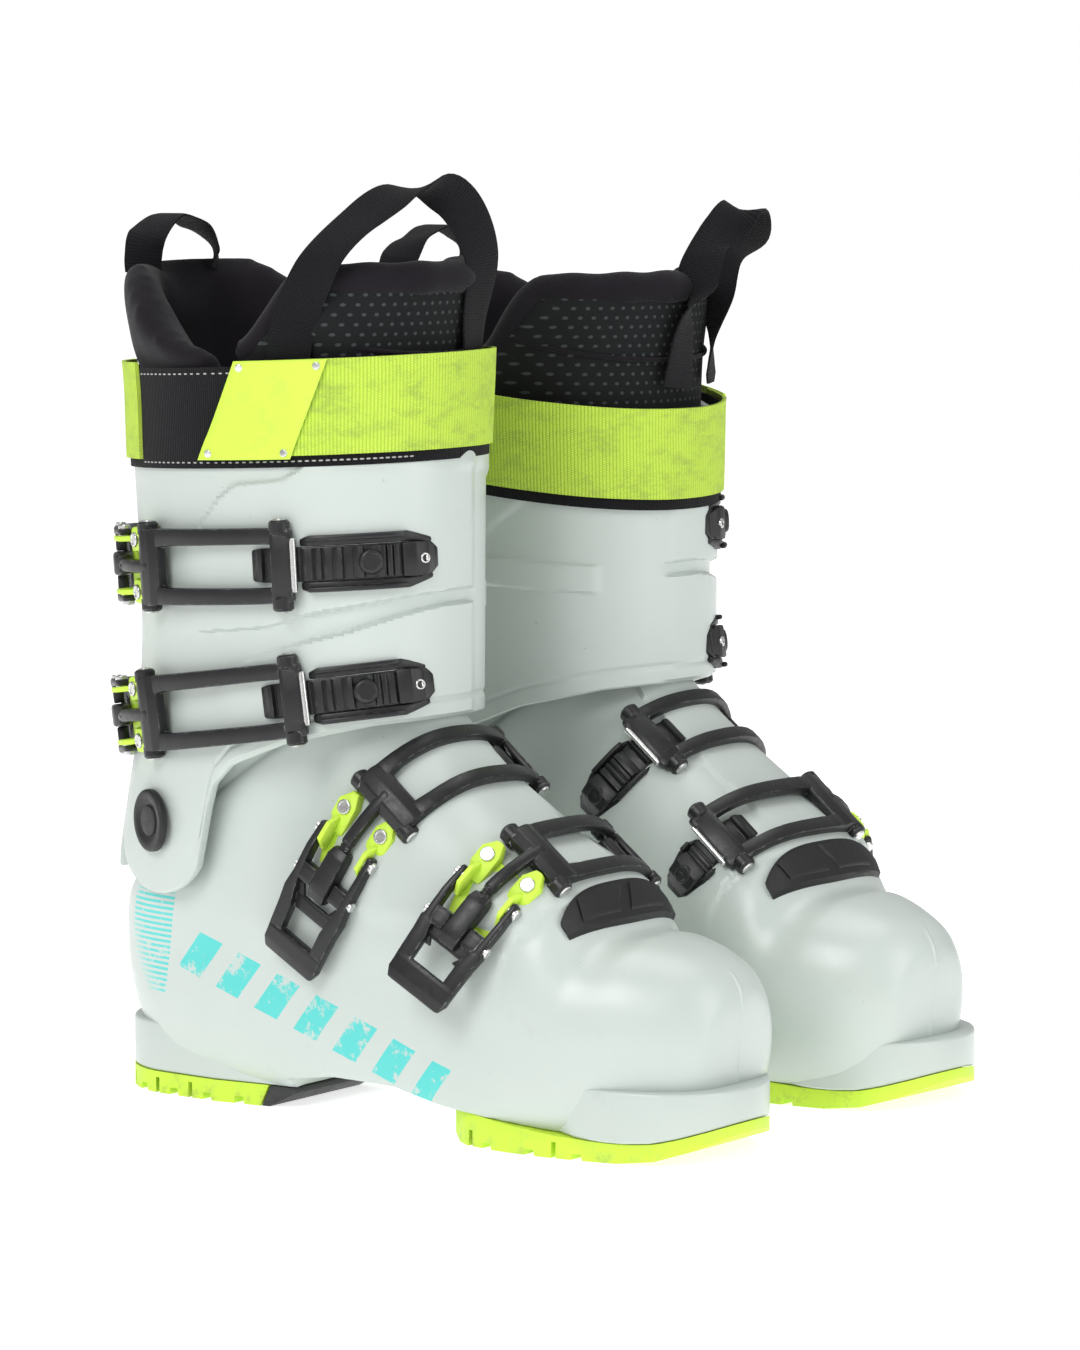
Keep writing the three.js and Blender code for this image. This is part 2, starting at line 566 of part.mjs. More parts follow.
// One buckle's four pieces. Its own s runs from the lever's pivot towards the rack.
function buckle({ place, seat, curve, turn, reach, rackEnd, leverLength }) {
  const local = tangentPlace(place, 0, turn, curve);
  const both = (make) => join([make(1), make(-1)]);
  const span = (side, a, b) => (side > 0 ? [a, b] : [-b, -a]);
  const base = join([
    bar(local, [-13, 12], [-12, 12], [-2.5, 3], 2),
    both((side) => bar(local, [-7, 9], span(side, 10, 12), [2, 10.5])),
  ]).subtract(seat);
  const lever = join([
    both((side) => bar(local, [-leverLength, 2.5], span(side, 12.4, 16), [4.5, 9.5], 3)),
    bar(local, [0.5 - leverLength, 7 - leverLength], [-15.5, 15.5], [5, 9]),
    both((side) => bar(local, [-20.5, -15.5], span(side, 4.8, 13), [5, 9.5])),
  ]);
  const lean = (s) => -Math.tan(turn) * (3 + (s - 3) * 0.45);
  const neck = loft([3, 10, 17, 24].map((s) => [
    place(s, lean(s) - 2.6, 5.6), place(s, lean(s) + 2.6, 5.6),
    place(s, lean(s) + 2.6, 9.4), place(s, lean(s) - 2.6, 9.4),
  ]));
  const rod = join([
    bar(local, [-22, -14], [-4.3, 4.3], [4, 10.5]),
    bar(local, [-15, 6], [-2.6, 2.6], [5.2, 9.8], 2),
    neck,
  ]);
  const bail = join([
    rod,
    bar(place, [20, 28], [-15, 15], [3.6, 9.6]),
    both((side) => bar(place, [26, reach], span(side, 8.5, 15.5), [3.6, 7.6], 5)),
    bar(place, [reach - 3.6, reach - 0.4], [-15, 15], [4.8, 7.2]),
  ]);
  const teeth = [];
  for (let s = reach - 14; s < Math.min(reach + 20, rackEnd - 12); s += 8) {
    if (Math.abs(s + 1 - (reach - 2)) > 2) teeth.push(bar(place, [s, s + 2], [-6.5, 6.5], [1.5, 4]));
  }
  const rack = join([
    bar(place, [reach - 16, rackEnd], [-7, 7], [-2, 3], 5),
    bar(place, [rackEnd - 14, rackEnd], [-7, 7], [1.5, 6], 2),
    ...teeth,
  ]).subtract(seat);
  return { rack, base, lever, bail };
}

const unit = (x, y, z) => new THREE.Vector3(x, y, z).normalize();

// The skins that the buckles sit on, a hair proud of the plastic.
const SEATS = {
  shell: loft(skin(SHELL_SECTIONS, 0, SHELL_TOP, 21, 20, -GAP)),
  cuff: loft(skin(CUFF_SECTIONS, 0, CUFF_TOP, 7, 24, -GAP)),
};

// Where each buckle lies: the plane of its line, the angles that the line covers, about where the lever's
// pivot is, the turn of the lever against the bail, and the lengths of its pieces.
const BUCKLES = {
  toe: {
    sections: SHELL_SECTIONS, seat: 'shell', places: [3.5, 12], through: [222, 0, 112.6], normal: unit(0.79, 0, -0.61),
    angles: [-150, 80], pivot: [218, -49, 104], curve: 160, turn: 0.15, reach: 90, rackEnd: 114, leverLength: 47,
  },
  instep: {
    sections: SHELL_SECTIONS, seat: 'shell', places: [6, 15], through: [160, -42, 134], normal: unit(0.79, -0.04, -0.61),
    angles: [-150, 85], pivot: [146, -49, 115], curve: 200, turn: 0.15, reach: 98, rackEnd: 134, leverLength: 54,
  },
  lower_cuff: {
    sections: CUFF_SECTIONS, seat: 'cuff', places: [1, 6.5], through: [34, 0, 161.5], normal: unit(0.15, 0, -1),
    angles: [-200, 30], pivot: [33, -40, 161], curve: 66, turn: 0, reach: 100, rackEnd: 152, leverLength: 44,
  },
  upper_cuff: {
    sections: CUFF_SECTIONS, seat: 'cuff', places: [1, 6.9], through: [62, 0, 225.5], normal: unit(0.065, 0, -1),
    angles: [-200, 30], pivot: [33, -40, 224], curve: 66, turn: 0, reach: 94, rackEnd: 152, leverLength: 44,
  },
};
const LINE_STEPS = 60;

function bucklePieces(spec) {
  const plane = new THREE.Plane().setFromNormalAndCoplanarPoint(spec.normal, new THREE.Vector3(...spec.through));
  const points = girth(spec.sections, spec.places, plane, ...spec.angles);
  const near = new THREE.Vector3(...spec.pivot);
  const distances = points.map((p) => p.distanceTo(near));
  const pivot = distances.indexOf(Math.min(...distances));
  return buckle({ ...spec, place: layout(points, spec.normal, pivot), seat: SEATS[spec.seat] });
}

// ---------------------------------------------------------------- the pair

function boot(side) {
  const group = new THREE.Group();
  const add = (name, solid, look) => {
    const mesh = new THREE.Mesh(toGeometry(solid), new THREE.MeshStandardMaterial(COLOURS[look]));
    mesh.name = `${side}_${name}`;
    group.add(mesh);
  };
  add('heel_sole', heelSole(), 'lime');
  add('toe_sole', toeSole(), 'lime');
  add('lower_shell', lowerShell(), 'shell');
  add('toe_insert', toeInsertBody(0), 'black');
  add('cuff', cuff(), 'shell');
  add('pivot_rivet_outer', pivotRivet(-1), 'black');
  add('pivot_rivet_inner', pivotRivet(1), 'black');
  add('liner_foot', linerFoot(), 'liner');
  add('liner_shaft', linerShaft(LINER_DROP[side]), 'liner');
  add('tongue', tongue(LINER_DROP[side]), 'liner');
  add('tongue_loop', tongueLoop(side), 'webbing');
  add('rear_loop', rearLoop(LINER_DROP[side]), 'webbing');
  add('power_strap', powerStrap(STRAP_HEIGHTS[side]), 'lime');
  add('strap_tab', strapTab(STRAP_HEIGHTS[side]), 'lime');
  for (const [name, spec] of Object.entries(BUCKLES)) {
    const { rack, base, lever, bail } = bucklePieces(spec);
    add(`${name}_rack`, rack, 'black');
    add(`${name}_buckle_base`, base, 'lime');
    add(`${name}_lever`, lever, 'black');
    add(`${name}_bail`, bail, 'black');
  }
  group.rotation.z = THREE.MathUtils.degToRad(TOE_IN);
  group.position.set(-LENGTH_CENTRE, -HALF_SPACING, 0);
  return group;
}

const pair = new THREE.Group();
pair.add(boot('right'));
const mirrored = new THREE.Group();
mirrored.scale.y = -1;
mirrored.add(boot('left'));
pair.add(mirrored);

export default pair;
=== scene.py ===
import math

import bpy
import numpy as np
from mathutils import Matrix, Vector


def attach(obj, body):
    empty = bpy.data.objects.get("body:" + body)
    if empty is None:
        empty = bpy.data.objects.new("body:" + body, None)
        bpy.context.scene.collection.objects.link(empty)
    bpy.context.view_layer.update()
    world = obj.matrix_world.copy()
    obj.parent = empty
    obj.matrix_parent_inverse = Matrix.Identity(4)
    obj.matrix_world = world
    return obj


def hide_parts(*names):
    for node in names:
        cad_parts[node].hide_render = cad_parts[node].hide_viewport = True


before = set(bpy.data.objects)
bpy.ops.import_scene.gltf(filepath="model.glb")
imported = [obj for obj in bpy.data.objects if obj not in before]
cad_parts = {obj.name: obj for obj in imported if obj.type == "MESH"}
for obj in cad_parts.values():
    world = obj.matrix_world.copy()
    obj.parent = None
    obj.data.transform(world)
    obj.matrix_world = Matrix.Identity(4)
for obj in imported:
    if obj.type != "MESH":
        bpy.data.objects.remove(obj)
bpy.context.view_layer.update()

SIDES = ("right", "left")

# ---------------------------------------------------------------- lower shell
# The lower shell is one injection moulding in a stiff, pale grey-green plastic with a satin skin.
# It holds the foot, has the two 69 mm wide lugs that a binding grips, and overlaps itself over the instep.
# The drawing below is in millimetres from the back of the heel, X to the toe, Z up from the floor.

TOE_IN = math.radians(2.15)
LENGTH_CENTRE = 152.6
HALF_SPACING = 81.5
SHELL_WALL = 4.5

# Each row of nine numbers is one egg-shaped ring: x and z of its front and of its back, half-width, where
# along it that width comes, how square its front and its back are, and how far it is swayed to the inner side.
SHELL = np.array([
    [303, 60, 301, 36, 11, 0.5, 2, 2, 4], [301, 68, 299, 20, 23, 0.5, 2.1, 2.1, 5],
    [294, 76, 291, 6, 32, 0.5, 2.3, 2.3, 5], [283, 81, 279, 0, 39, 0.5, 2.4, 2.5, 5],
    [268, 85, 262, 0, 45, 0.52, 2.5, 3, 4], [251, 87, 242, 0, 49.5, 0.55, 2.6, 3.4, 3],
    [240, 102.5, 221, 0, 51.5, 0.6, 2.8, 3.6, 2], [225, 111.5, 198, 0, 52, 0.62, 3, 3.6, 1],
    [206, 122, 174, 2, 51, 0.62, 3, 3.6, 0], [188, 134.5, 150, 3, 49, 0.6, 2.9, 3.4, 0],
    [173, 146, 126, 3, 48, 0.58, 2.7, 3.2, 0], [162, 157, 96, 3, 47, 0.55, 2.4, 3, 0],
    [155, 166, 56, 3, 46, 0.55, 2.2, 2.8, 0], [150, 172, 26, 6, 45, 0.55, 2.2, 2.6, 0],
    [148, 175, 9, 24, 45, 0.55, 2.2, 2.5, 0], [146, 178, 2, 50, 45.5, 0.55, 2.2, 2.5, 0],
    [144, 180, 3, 74, 45.5, 0.55, 2.2, 2.3, 0], [142, 182, 12.5, 90, 44, 0.55, 2.2, 2.1, 0],
    [140, 184, 15, 114, 45.5, 0.52, 2.2, 2.2, 0], [138, 186, 18, 137, 44.5, 0.5, 2.2, 2.2, 0],
    [136, 188, 23, 160, 43, 0.5, 2.2, 2.2, 0],
], float)
SHELL_TOP = len(SHELL) - 1


def section_at(sections, place):
    """A smooth curve through the rings; place 2.5 is half-way between the third and the fourth."""
    last = len(sections) - 1
    place = np.asarray(place, float)
    i = np.clip(np.floor(place).astype(int), 0, last - 1)
    u = (place - i)[..., None]
    p0, p1, p2, p3 = (sections[np.clip(i + k, 0, last)] for k in (-1, 0, 1, 2))
    bend = 2 * p0 - 5 * p1 + 4 * p2 - p3
    twist = -p0 + 3 * p1 - 3 * p2 + p3
    return p1 + 0.5 * u * (p2 - p0 + u * (bend + u * twist))


def skin_point(sections, place, angle, inset=0.0, floor=0.0):
    """A point of the skin: angle 0 is the front, a quarter turn the inner side."""
    section = section_at(sections, place)
    fx, fz, bx, bz, half, widest, square_front, square_back, sway = np.moveaxis(section, -1, 0)
    length = np.hypot(bx - fx, bz - fz)
    ax, az = (bx - fx) / length, (bz - fz) / length
    lift = np.where(floor > bz, np.minimum((floor - bz) / np.maximum(-az, 0.35), length / 3), 0)
    back = np.maximum(inset, lift) if floor else inset
    front_x, front_z = fx + ax * inset, fz + az * inset
    back_x, back_z = bx - ax * back, bz - az * back
    c, s = np.cos(angle), np.sin(angle)
    power = 2 / np.where(c > 0, square_front, square_back)
    reach = np.sign(c) * np.abs(c) ** power
    side = np.sign(s) * np.abs(s) ** power
    mid_x = front_x + (back_x - front_x) * widest
    mid_z = front_z + (back_z - front_z) * widest
    x = mid_x + (np.where(reach > 0, front_x, back_x) - mid_x) * np.abs(reach)
    z = mid_z + (np.where(reach > 0, front_z, back_z) - mid_z) * np.abs(reach)
    return np.stack(np.broadcast_arrays(x, sway + side * (half - inset), z), -1)


def narrowed(low, high, steps, is_below):
    """Halves the room between two places again and again, to close in on where the test changes."""
    for _ in range(steps):
        mid = (low + high) / 2
        below = is_below(mid)
        low = np.where(below, mid, low)
        high = np.where(below, high, mid)
    return low, high


def skin(sections, places, count, inset=0.0, floor=0.0):
    """A grid of skin points, one row for each place and all the way round."""
    angles = np.linspace(0, 2 * np.pi, count, endpoint=False)
    return skin_point(sections, np.asarray(places, float)[:, None], angles[None, :], inset, floor)


def smooth(x, low, high):
    """Rises gently from nought at low to one at high; falls if low is the greater."""
    t = np.clip((x - low) / (high - low), 0, 1)
    return t * t * (3 - 2 * t)


def tube(rings, closed=False):
    """Faces over rings of points: a ring shape if closed, else with a fan over each end."""
    rows, count = rings.shape[:2]
    verts = rings.reshape(-1, 3)
    r = np.arange(rows if closed else rows - 1)[:, None]
    k = np.arange(count)[None, :]
    a = r * count + k
    b = r * count + (k + 1) % count
    c = ((r + 1) % rows) * count + (k + 1) % count
    d = ((r + 1) % rows) * count + k
    faces = [tuple(f) for f in np.stack([a, b, c, d], -1).reshape(-1, 4)]
    if not closed:
        first = len(verts)
        verts = np.vstack([verts, rings[0].mean(0), rings[-1].mean(0)])
        faces += [(first, (j + 1) % count, j) for j in range(count)]
        base = (rows - 1) * count
        faces += [(first + 1, base + j, base + (j + 1) % count) for j in range(count)]
    return verts, faces


def together(parts):
    """Joins the points and faces of several bodies."""
    verts, faces, start = [], [], 0
    for v, f in parts:
        verts.append(np.asarray(v, float))
        faces += [tuple(i + start for i in face) for face in f]
        start += len(v)
    return np.vstack(verts), faces


def to_row(points, side):
    """From the drawing's millimetres to the frame's metres; the left boot is the mirror image."""
    c, s = math.cos(TOE_IN), math.sin(TOE_IN)
    x, y, z = np.moveaxis(np.asarray(points, float), -1, 0)
    wide = x * s + y * c - HALF_SPACING
    return np.stack([x * c - y * s - LENGTH_CENTRE, -wide if side == "left" else wide, z], -1) / 1000


def outward(verts, faces):
    """True if the faces look out of the body."""
    volume = 0.0
    by_size = {}
    for f in faces:
        by_size.setdefault(len(f), []).append(f)
    for size, group in by_size.items():
        corners = verts[np.array(group)]
        for k in range(1, size - 1):
            volume += np.einsum("ij,ij->i", corners[:, 0], np.cross(corners[:, k], corners[:, k + 1])).sum()
    return volume > 0


def piece(name, side, parts, material, slot, uv=None, crease=35):
    """Makes one object from parts given in the drawing's millimetres, and keeps those for the material."""
    name = name.replace(" ", "_").replace(",", "")
    fixed = []
    for verts, faces in parts:
        placed = to_row(verts, side)
        turned = faces if outward(placed, faces) else [tuple(reversed(f)) for f in faces]
        fixed.append((verts, turned))
    verts, faces = together(fixed)
    mesh = bpy.data.meshes.new(name)
    mesh.from_pydata([tuple(p) for p in to_row(verts, side)], [], faces)
    drawn = mesh.attributes.new("drawn", "FLOAT_VECTOR", "POINT")
    drawn.data.foreach_set("vector", np.asarray(verts, np.float32).ravel())
    if uv is not None:
        along = mesh.attributes.new("run", "FLOAT_VECTOR", "POINT")
        along.data.foreach_set("vector", np.asarray(uv, np.float32).ravel())
    mesh.polygons.foreach_set("use_smooth", [True] * len(mesh.polygons))
    mesh.set_sharp_from_angle(angle=math.radians(crease))
    mesh.materials.append(material)
    obj = bpy.data.objects.new(name, mesh)
    bpy.context.scene.collection.objects.link(obj)
    return obj


class Shader:
    """Short names for building a node material."""

    def __init__(self, name):
        self.material = bpy.data.materials.new(name)
        self.material.use_nodes = True
        self.tree = self.material.node_tree
        self.bsdf = self.tree.nodes["Principled BSDF"]

    def node(self, kind, **values):
        made = self.tree.nodes.new("ShaderNode" + kind)
        for key, value in values.items():
            if key in made.inputs:
                self.set(made.inputs[key], value)
            else:
                setattr(made, key, value)
        return made

    def set(self, socket, value):
        if isinstance(value, bpy.types.NodeSocket):
            self.tree.links.new(value, socket)
        elif socket.type == "RGBA" and len(value) == 3:
            socket.default_value = (*value, 1)
        else:
            socket.default_value = value

    def math(self, operation, a, b=0.0, c=0.0, clamp=False):
        made = self.tree.nodes.new("ShaderNodeMath")
        made.operation = operation
        made.use_clamp = clamp
        for socket, value in zip(made.inputs, (a, b, c)):
            self.set(socket, value)
        return made.outputs[0]

    def times(self, a, b):
        return self.math("MULTIPLY", a, b)

    def plus(self, a, b):
        return self.math("ADD", a, b)

    def minus(self, a, b):
        return self.math("SUBTRACT", a, b)

    def over(self, a, b):
        return self.math("DIVIDE", a, b)

    def between(self, value, low, high):
        return self.times(self.math("GREATER_THAN", value, low), self.math("LESS_THAN", value, high))

    def plain(self, **numbers):
        """Numbers and colours that are the same all over, set on the shader's own sockets."""
        for name, number in numbers.items():
            self.bsdf.inputs[name.replace("_", " ")].default_value = number

    def drive(self, name, value):
        """Lets a pattern set one of the shader's sockets."""
        self.set(self.bsdf.inputs[name], value)

    def drawn(self, name="drawn"):
        """The place on the drawing, in millimetres, and its three parts."""
        vector = self.node("Attribute", attribute_name=name).outputs["Vector"]
        split = self.node("SeparateXYZ", Vector=vector)
        return vector, split.outputs[0], split.outputs[1], split.outputs[2]

    def noise(self, vector, scale, detail=3, rough=0.5):
        made = self.node("TexNoise", Vector=vector, Scale=scale, Detail=detail, Roughness=rough)
        return made.outputs["Fac"]

    def ramp(self, value, low, high, start=0.0, end=1.0):
        made = self.node("MapRange")
        for socket, number in zip(made.inputs, (value, low, high, start, end)):
            self.set(socket, number)
        return made.outputs[0]

    def scaled(self, vector, factors):
        made = self.node("VectorMath", operation="MULTIPLY")
        self.set(made.inputs[0], vector)
        made.inputs[1].default_value = factors
        return made.outputs[0]

    def mix(self, factor, a, b):
        made = self.node("Mix", data_type="RGBA")
        self.set(made.inputs[0], factor)
        self.set(made.inputs[6], a)
        self.set(made.inputs[7], b)
        return made.outputs[2]

    def edges(self, radius):
        """High where the surface turns sharply, which is where it is rubbed."""
        soft = self.node("Bevel", samples=6, Radius=radius).outputs[0]
        hard = self.node("NewGeometry").outputs["Normal"]
        product = self.node("VectorMath", operation="DOT_PRODUCT")
        self.set(product.inputs[0], soft)
        self.set(product.inputs[1], hard)
        return self.ramp(product.outputs["Value"], 0.96, 0.80)

    def bump(self, height, depth, strength=1.0):
        made = self.node("Bump", Height=height, Distance=depth / 1000, Strength=strength)
        self.set(self.bsdf.inputs["Normal"], made.outputs[0])
        return made


SHELL_DARK = (0.47, 0.525, 0.495)
SHELL_PALE = (0.52, 0.57, 0.54)
PRINT = (0.045, 0.55, 0.52)


def shell_material(name, printed):
    """Satin plastic: slightly clouded, grimy low down, marked towards the toe, flecked all over."""
    shade = Shader(name)
    place, x, y, z = shade.drawn()
    base = shade.mix(shade.noise(place, 0.018, 3), SHELL_DARK, SHELL_PALE)
    grime = shade.ramp(shade.noise(place, 0.05, 6, 0.7), 0.60, 0.80)
    low = shade.ramp(z, 70, 8)
    base = shade.mix(shade.times(grime, shade.ramp(low, 0, 1, 0.12, 0.5)), base, (0.33, 0.35, 0.33))
    long_marks = shade.noise(shade.scaled(place, (0.35, 0.35, 2.4)), 0.5, 5, 0.75)
    marks = shade.times(shade.ramp(long_marks, 0.70, 0.74), shade.ramp(x, 215, 285))
    base = shade.mix(shade.times(marks, 0.35), base, (0.23, 0.25, 0.24))
    fleck = shade.ramp(shade.noise(place, 0.33, 2), 0.76, 0.80)
    base = shade.mix(shade.times(fleck, 0.35), base, (0.16, 0.17, 0.17))
    rub = shade.ramp(shade.noise(shade.scaled(place, (1, 1, 0.25)), 0.2, 4, 0.8), 0.69, 0.73)
    toe = shade.times(rub, shade.ramp(x, 255, 290))
    base = shade.mix(shade.times(toe, 0.4), base, (0.25, 0.52, 0.50))
    if printed:
        base = shade.mix(print_mask(shade, x, y, z, place), base, PRINT)
    rough = shade.ramp(shade.noise(place, 0.09, 5, 0.7), 0.3, 0.8, 0.30, 0.48)
    shade.drive("Base Color", base)
    shade.drive("Roughness", rough)
    shade.plain(IOR=1.5, Subsurface_Weight=0.0, Coat_Weight=0.12, Coat_Roughness=0.25)
    scratch = shade.noise(shade.scaled(place, (0.5, 0.5, 3)), 0.8, 5, 0.8)
    ripple = shade.plus(shade.noise(place, 0.03, 2), shade.times(scratch, 0.06))
    shade.bump(ripple, 0.5, 0.35)
    return shade.material


def print_mask(shade, x, y, z, place):
    """Worn turquoise printing on the outer side: a hatched block at the heel and a row of slanted bars."""
    outer = shade.ramp(y, -36, -40)
    hatch = shade.math("GREATER_THAN", shade.math("FRACT", shade.over(z, 2.4)), 0.5)
    lean = shade.minus(x, shade.times(z, 0.25))
    block = shade.times(shade.times(shade.between(lean, 4, 30), shade.between(z, 44, 88)), hatch)
    run = shade.plus(shade.times(x, 0.955), shade.times(z, -0.295))
    rise = shade.plus(shade.times(z, 0.955), shade.times(x, 0.295))
    slant = shade.minus(run, shade.times(rise, 0.45))
    bars = shade.math("LESS_THAN", shade.math("FRACT", shade.over(slant, 22)), 0.58)
    belt = shade.math("LESS_THAN", shade.math("ABSOLUTE", shade.minus(rise, 79)), 9.5)
    bars = shade.times(bars, shade.times(shade.between(slant, 0, 142), belt))
    worn = shade.ramp(shade.noise(place, 0.12, 6, 0.8), 0.38, 0.46)
    both = shade.math("MAXIMUM", block, bars)
    return shade.times(shade.times(both, worn), shade.times(outer, 0.95))


def level(height):
    """The same height for every x."""
    return lambda x: np.full(len(x), float(height))


def edge_line(points):
    """A height for each x, through a few points."""
    xs, zs = np.array(points, float).T
    return lambda x: np.interp(x, xs, zs)


# Where the shell meets the soles: a flat heel, the arch, then the curve over the rocking toe block.
TOE_JOINT = [(192, 15), (205, 13.4), (225, 11.3), (245, 9.2), (258, 8.3), (270, 7.9), (280, 8.2), (288, 9.0),
             (296, 10.9), (304, 13.5), (312, 16.5)]
HEEL_JOINT = 9.4
sole_line = edge_line([(-10, HEEL_JOINT), (101.4, HEEL_JOINT), (103.4, 14), (130, 19), (168, 20), (191.6, 15.4)]
                      + [(x, z + 0.4) for x, z in TOE_JOINT[1:]])


def shell_relief(p):
    """How far the outside stands proud: the overlap's edge, the step behind the toe box, the buckles' seats."""
    x, y, z = np.moveaxis(p, -1, 0)
    overlap = smooth(y, 16 + 1.4, 16) * smooth(z, 84, 92) * smooth(x, 236, 230) * smooth(x, 120, 130)
    step_x = 246 - 0.010 * y ** 2
    step = smooth(x, step_x + 1.2, step_x) * smooth(z, 62, 84)
    seam = np.exp(-((y - 4) / 0.5) ** 2) * smooth(x, 286, 292) * smooth(z, 22, 30)
    seats = sum(np.exp(-(((x - seat_x) / half_long) ** 4 + ((z - seat_z) / half_high) ** 4))
                for seat_x, half_long, seat_z, half_high in ((150, 13, 112, 16), (217, 14, 101, 13)))
    return 1.9 * overlap + 1.4 * step + 0.5 * seam + 1.3 * seats * smooth(y, -30, -36)


def push_out(rings, amount):
    """Moves each point of a wrapped grid along its own normal."""
    along = np.gradient(rings, axis=0)
    around = np.roll(rings, -1, 1) - np.roll(rings, 1, 1)
    normal = np.cross(around, along)
    normal /= np.maximum(np.linalg.norm(normal, axis=-1, keepdims=True), 1e-9)
    middle = rings.mean(axis=1, keepdims=True)
    sign = np.sign(np.einsum("ijk,ijk->", normal, rings - middle))
    return rings + sign * normal * amount[..., None]


BOTTOM_BEVEL = 0.8


def plan_slab(outline, bottom, top, round_top=0.0):
    """A plate over a flat outline; its bottom follows a line over x and its top edge is rounded."""
    outline = np.array(outline, float)
    direction = outline - outline.mean(0)
    direction /= np.linalg.norm(direction, axis=1, keepdims=True)
    rings = []
    for inset, rise in ((BOTTOM_BEVEL, 0), (0, BOTTOM_BEVEL)):
        flat = outline - direction * inset
        rings.append(np.column_stack([flat, bottom(flat[:, 0]) + rise]))
    for turn in (0, math.pi / 6, math.pi / 3, math.pi / 2):
        flat = outline - direction * round_top * (1 - math.cos(turn))
        rings.append(np.column_stack([flat, np.full(len(flat), top - round_top * (1 - math.sin(turn)))]))
    return tube(np.array(rings))


def arc(cx, cy, radius, start, end, count):
    turn = np.linspace(start, end, count)
    return [(cx + radius * math.cos(t), cy + radius * math.sin(t)) for t in turn]


LUG_HALF = 34.5
TOE_RADIUS = 41.5
TOE_CENTRE = 268.5
LUG_TOP = 30
TOE_CORNER = math.asin(LUG_HALF / TOE_RADIUS)
TOE_TIP = arc(TOE_CENTRE, 0, TOE_RADIUS, TOE_CORNER, -TOE_CORNER, 41)
HEEL_SIDE = [(101, 29), (90, 30), (76, 32.3), (62, LUG_HALF)]
HEEL_OUTLINE = (HEEL_SIDE + arc(LUG_HALF, 0, LUG_HALF, math.pi / 2, 1.5 * math.pi, 41)
                + [(x, -y) for x, y in HEEL_SIDE[::-1]] + [(101, -15), (101, 0), (101, 15)])
TOE_SIDE = [(262, 42), (251, 44.2), (240, 46), (229, 46.8), (218, 47), (203, 45), (192, 38)]
TOE_OUTLINE = ([(192, -38), (192, -19), (192, 0), (192, 19)] + TOE_SIDE[::-1]
               + TOE_TIP + [(x, -y) for x, y in TOE_SIDE[:-1]])


def shell_parts():
    """The boot-shaped body, hollow down to the footbed, and the two lugs under it."""
    places = np.concatenate([[0.02, 0.08, 0.2], np.linspace(0.35, SHELL_TOP, 230)])
    outer = skin(SHELL, places, 200)
    outer = push_out(outer, shell_relief(outer))
    outer[..., 2] = np.maximum(outer[..., 2], sole_line(outer[..., 0]))
    inner = skin(SHELL, np.linspace(SHELL_TOP, 2.0, 90), 200, SHELL_WALL, 24)
    rim = [outer[-1] + (inner[0] - outer[-1]) * t + [0, 0, h]
           for t, h in ((0.12, 0.7), (0.5, 1.0), (0.88, 0.7))]
    heel = plan_slab(HEEL_OUTLINE, level(HEEL_JOINT), LUG_TOP, 1.2)
    flank = [(238, 35), (246, 40.3), (254, 42.4), (262, 42.2), (268, 41.6), (276, 40.2), (286, 37.2)]
    toe = plan_slab(flank + TOE_TIP + [(x, -y) for x, y in flank[::-1]], sole_line, LUG_TOP - 1, 1.2)
    return [tube(np.concatenate([outer, rim, inner])), heel, toe]


plastic = shell_material("shell plastic, printed", True)
for side in SIDES:
    shell = piece(f"{side} shell", side, shell_parts(), plastic, "shell", crease=32)
    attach(shell, f"{side}_shell_body")
    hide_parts(f"{side}_lower_shell")

# ---------------------------------------------------------------- walking soles
# Two lime rubber blocks, screwed up into the shell under the heel and the toes, with grooves across the tread.
# The toe block rocks up towards its tip so that the boot can be walked in; a black wedge backs the heel block.


def rubber_material(name, colour, dark):
    shade = Shader(name)
    place, _, _, z = shade.drawn()
    base = shade.mix(shade.noise(place, 0.03, 4), colour, tuple(0.86 * c for c in colour))
    dirt = shade.ramp(shade.noise(place, 0.11, 6, 0.75), 0.50, 0.74)
    base = shade.mix(shade.times(dirt, shade.ramp(z, 12, 0, 0.25, 0.8)), base, dark)
    scuff = shade.ramp(shade.noise(shade.scaled(place, (0.3, 0.3, 2)), 0.7, 5, 0.8), 0.66, 0.72)
    base = shade.mix(shade.times(scuff, 0.3), base, dark)
    shade.drive("Base Color", base)
    shade.drive("Roughness", shade.ramp(shade.noise(place, 0.2, 4), 0.2, 0.8, 0.42, 0.62))
    shade.bump(shade.noise(place, 1.1, 4, 0.7), 0.25, 0.35)
    return shade.material


LIME = (0.60, 0.86, 0.05)
lime_rubber = rubber_material("lime rubber", LIME, (0.22, 0.26, 0.08))
black_rubber = rubber_material("black rubber", (0.022, 0.022, 0.024), (0.07, 0.07, 0.065))


def cut(target, cutter, operation="DIFFERENCE"):
    """Cuts or joins one object with another and removes the cutter."""
    modifier = target.modifiers.new("cut", "BOOLEAN")
    modifier.operation = operation
    modifier.object = cutter
    modifier.solver = "EXACT"
    bake(target)
    bpy.data.objects.remove(cutter)


def bake(obj):
    """Turns the object's modifiers into plain mesh."""
    graph = bpy.context.evaluated_depsgraph_get()
    made = bpy.data.meshes.new_from_object(obj.evaluated_get(graph), preserve_all_data_layers=True,
                                           depsgraph=graph)
    old = obj.data
    obj.modifiers.clear()
    obj.data = made
    made.name = old.name
    bpy.data.meshes.remove(old)


def prism(ring, shift):
    """A straight bar between a flat ring of points and the same ring moved by the shift."""
    ring = np.array(ring, float)
    count = len(ring)
    faces = [tuple(range(count)), tuple(reversed(range(count, 2 * count)))]
    faces += [(k, (k + 1) % count, count + (k + 1) % count, count + k) for k in range(count)]
    return np.vstack([ring, ring + shift]), faces


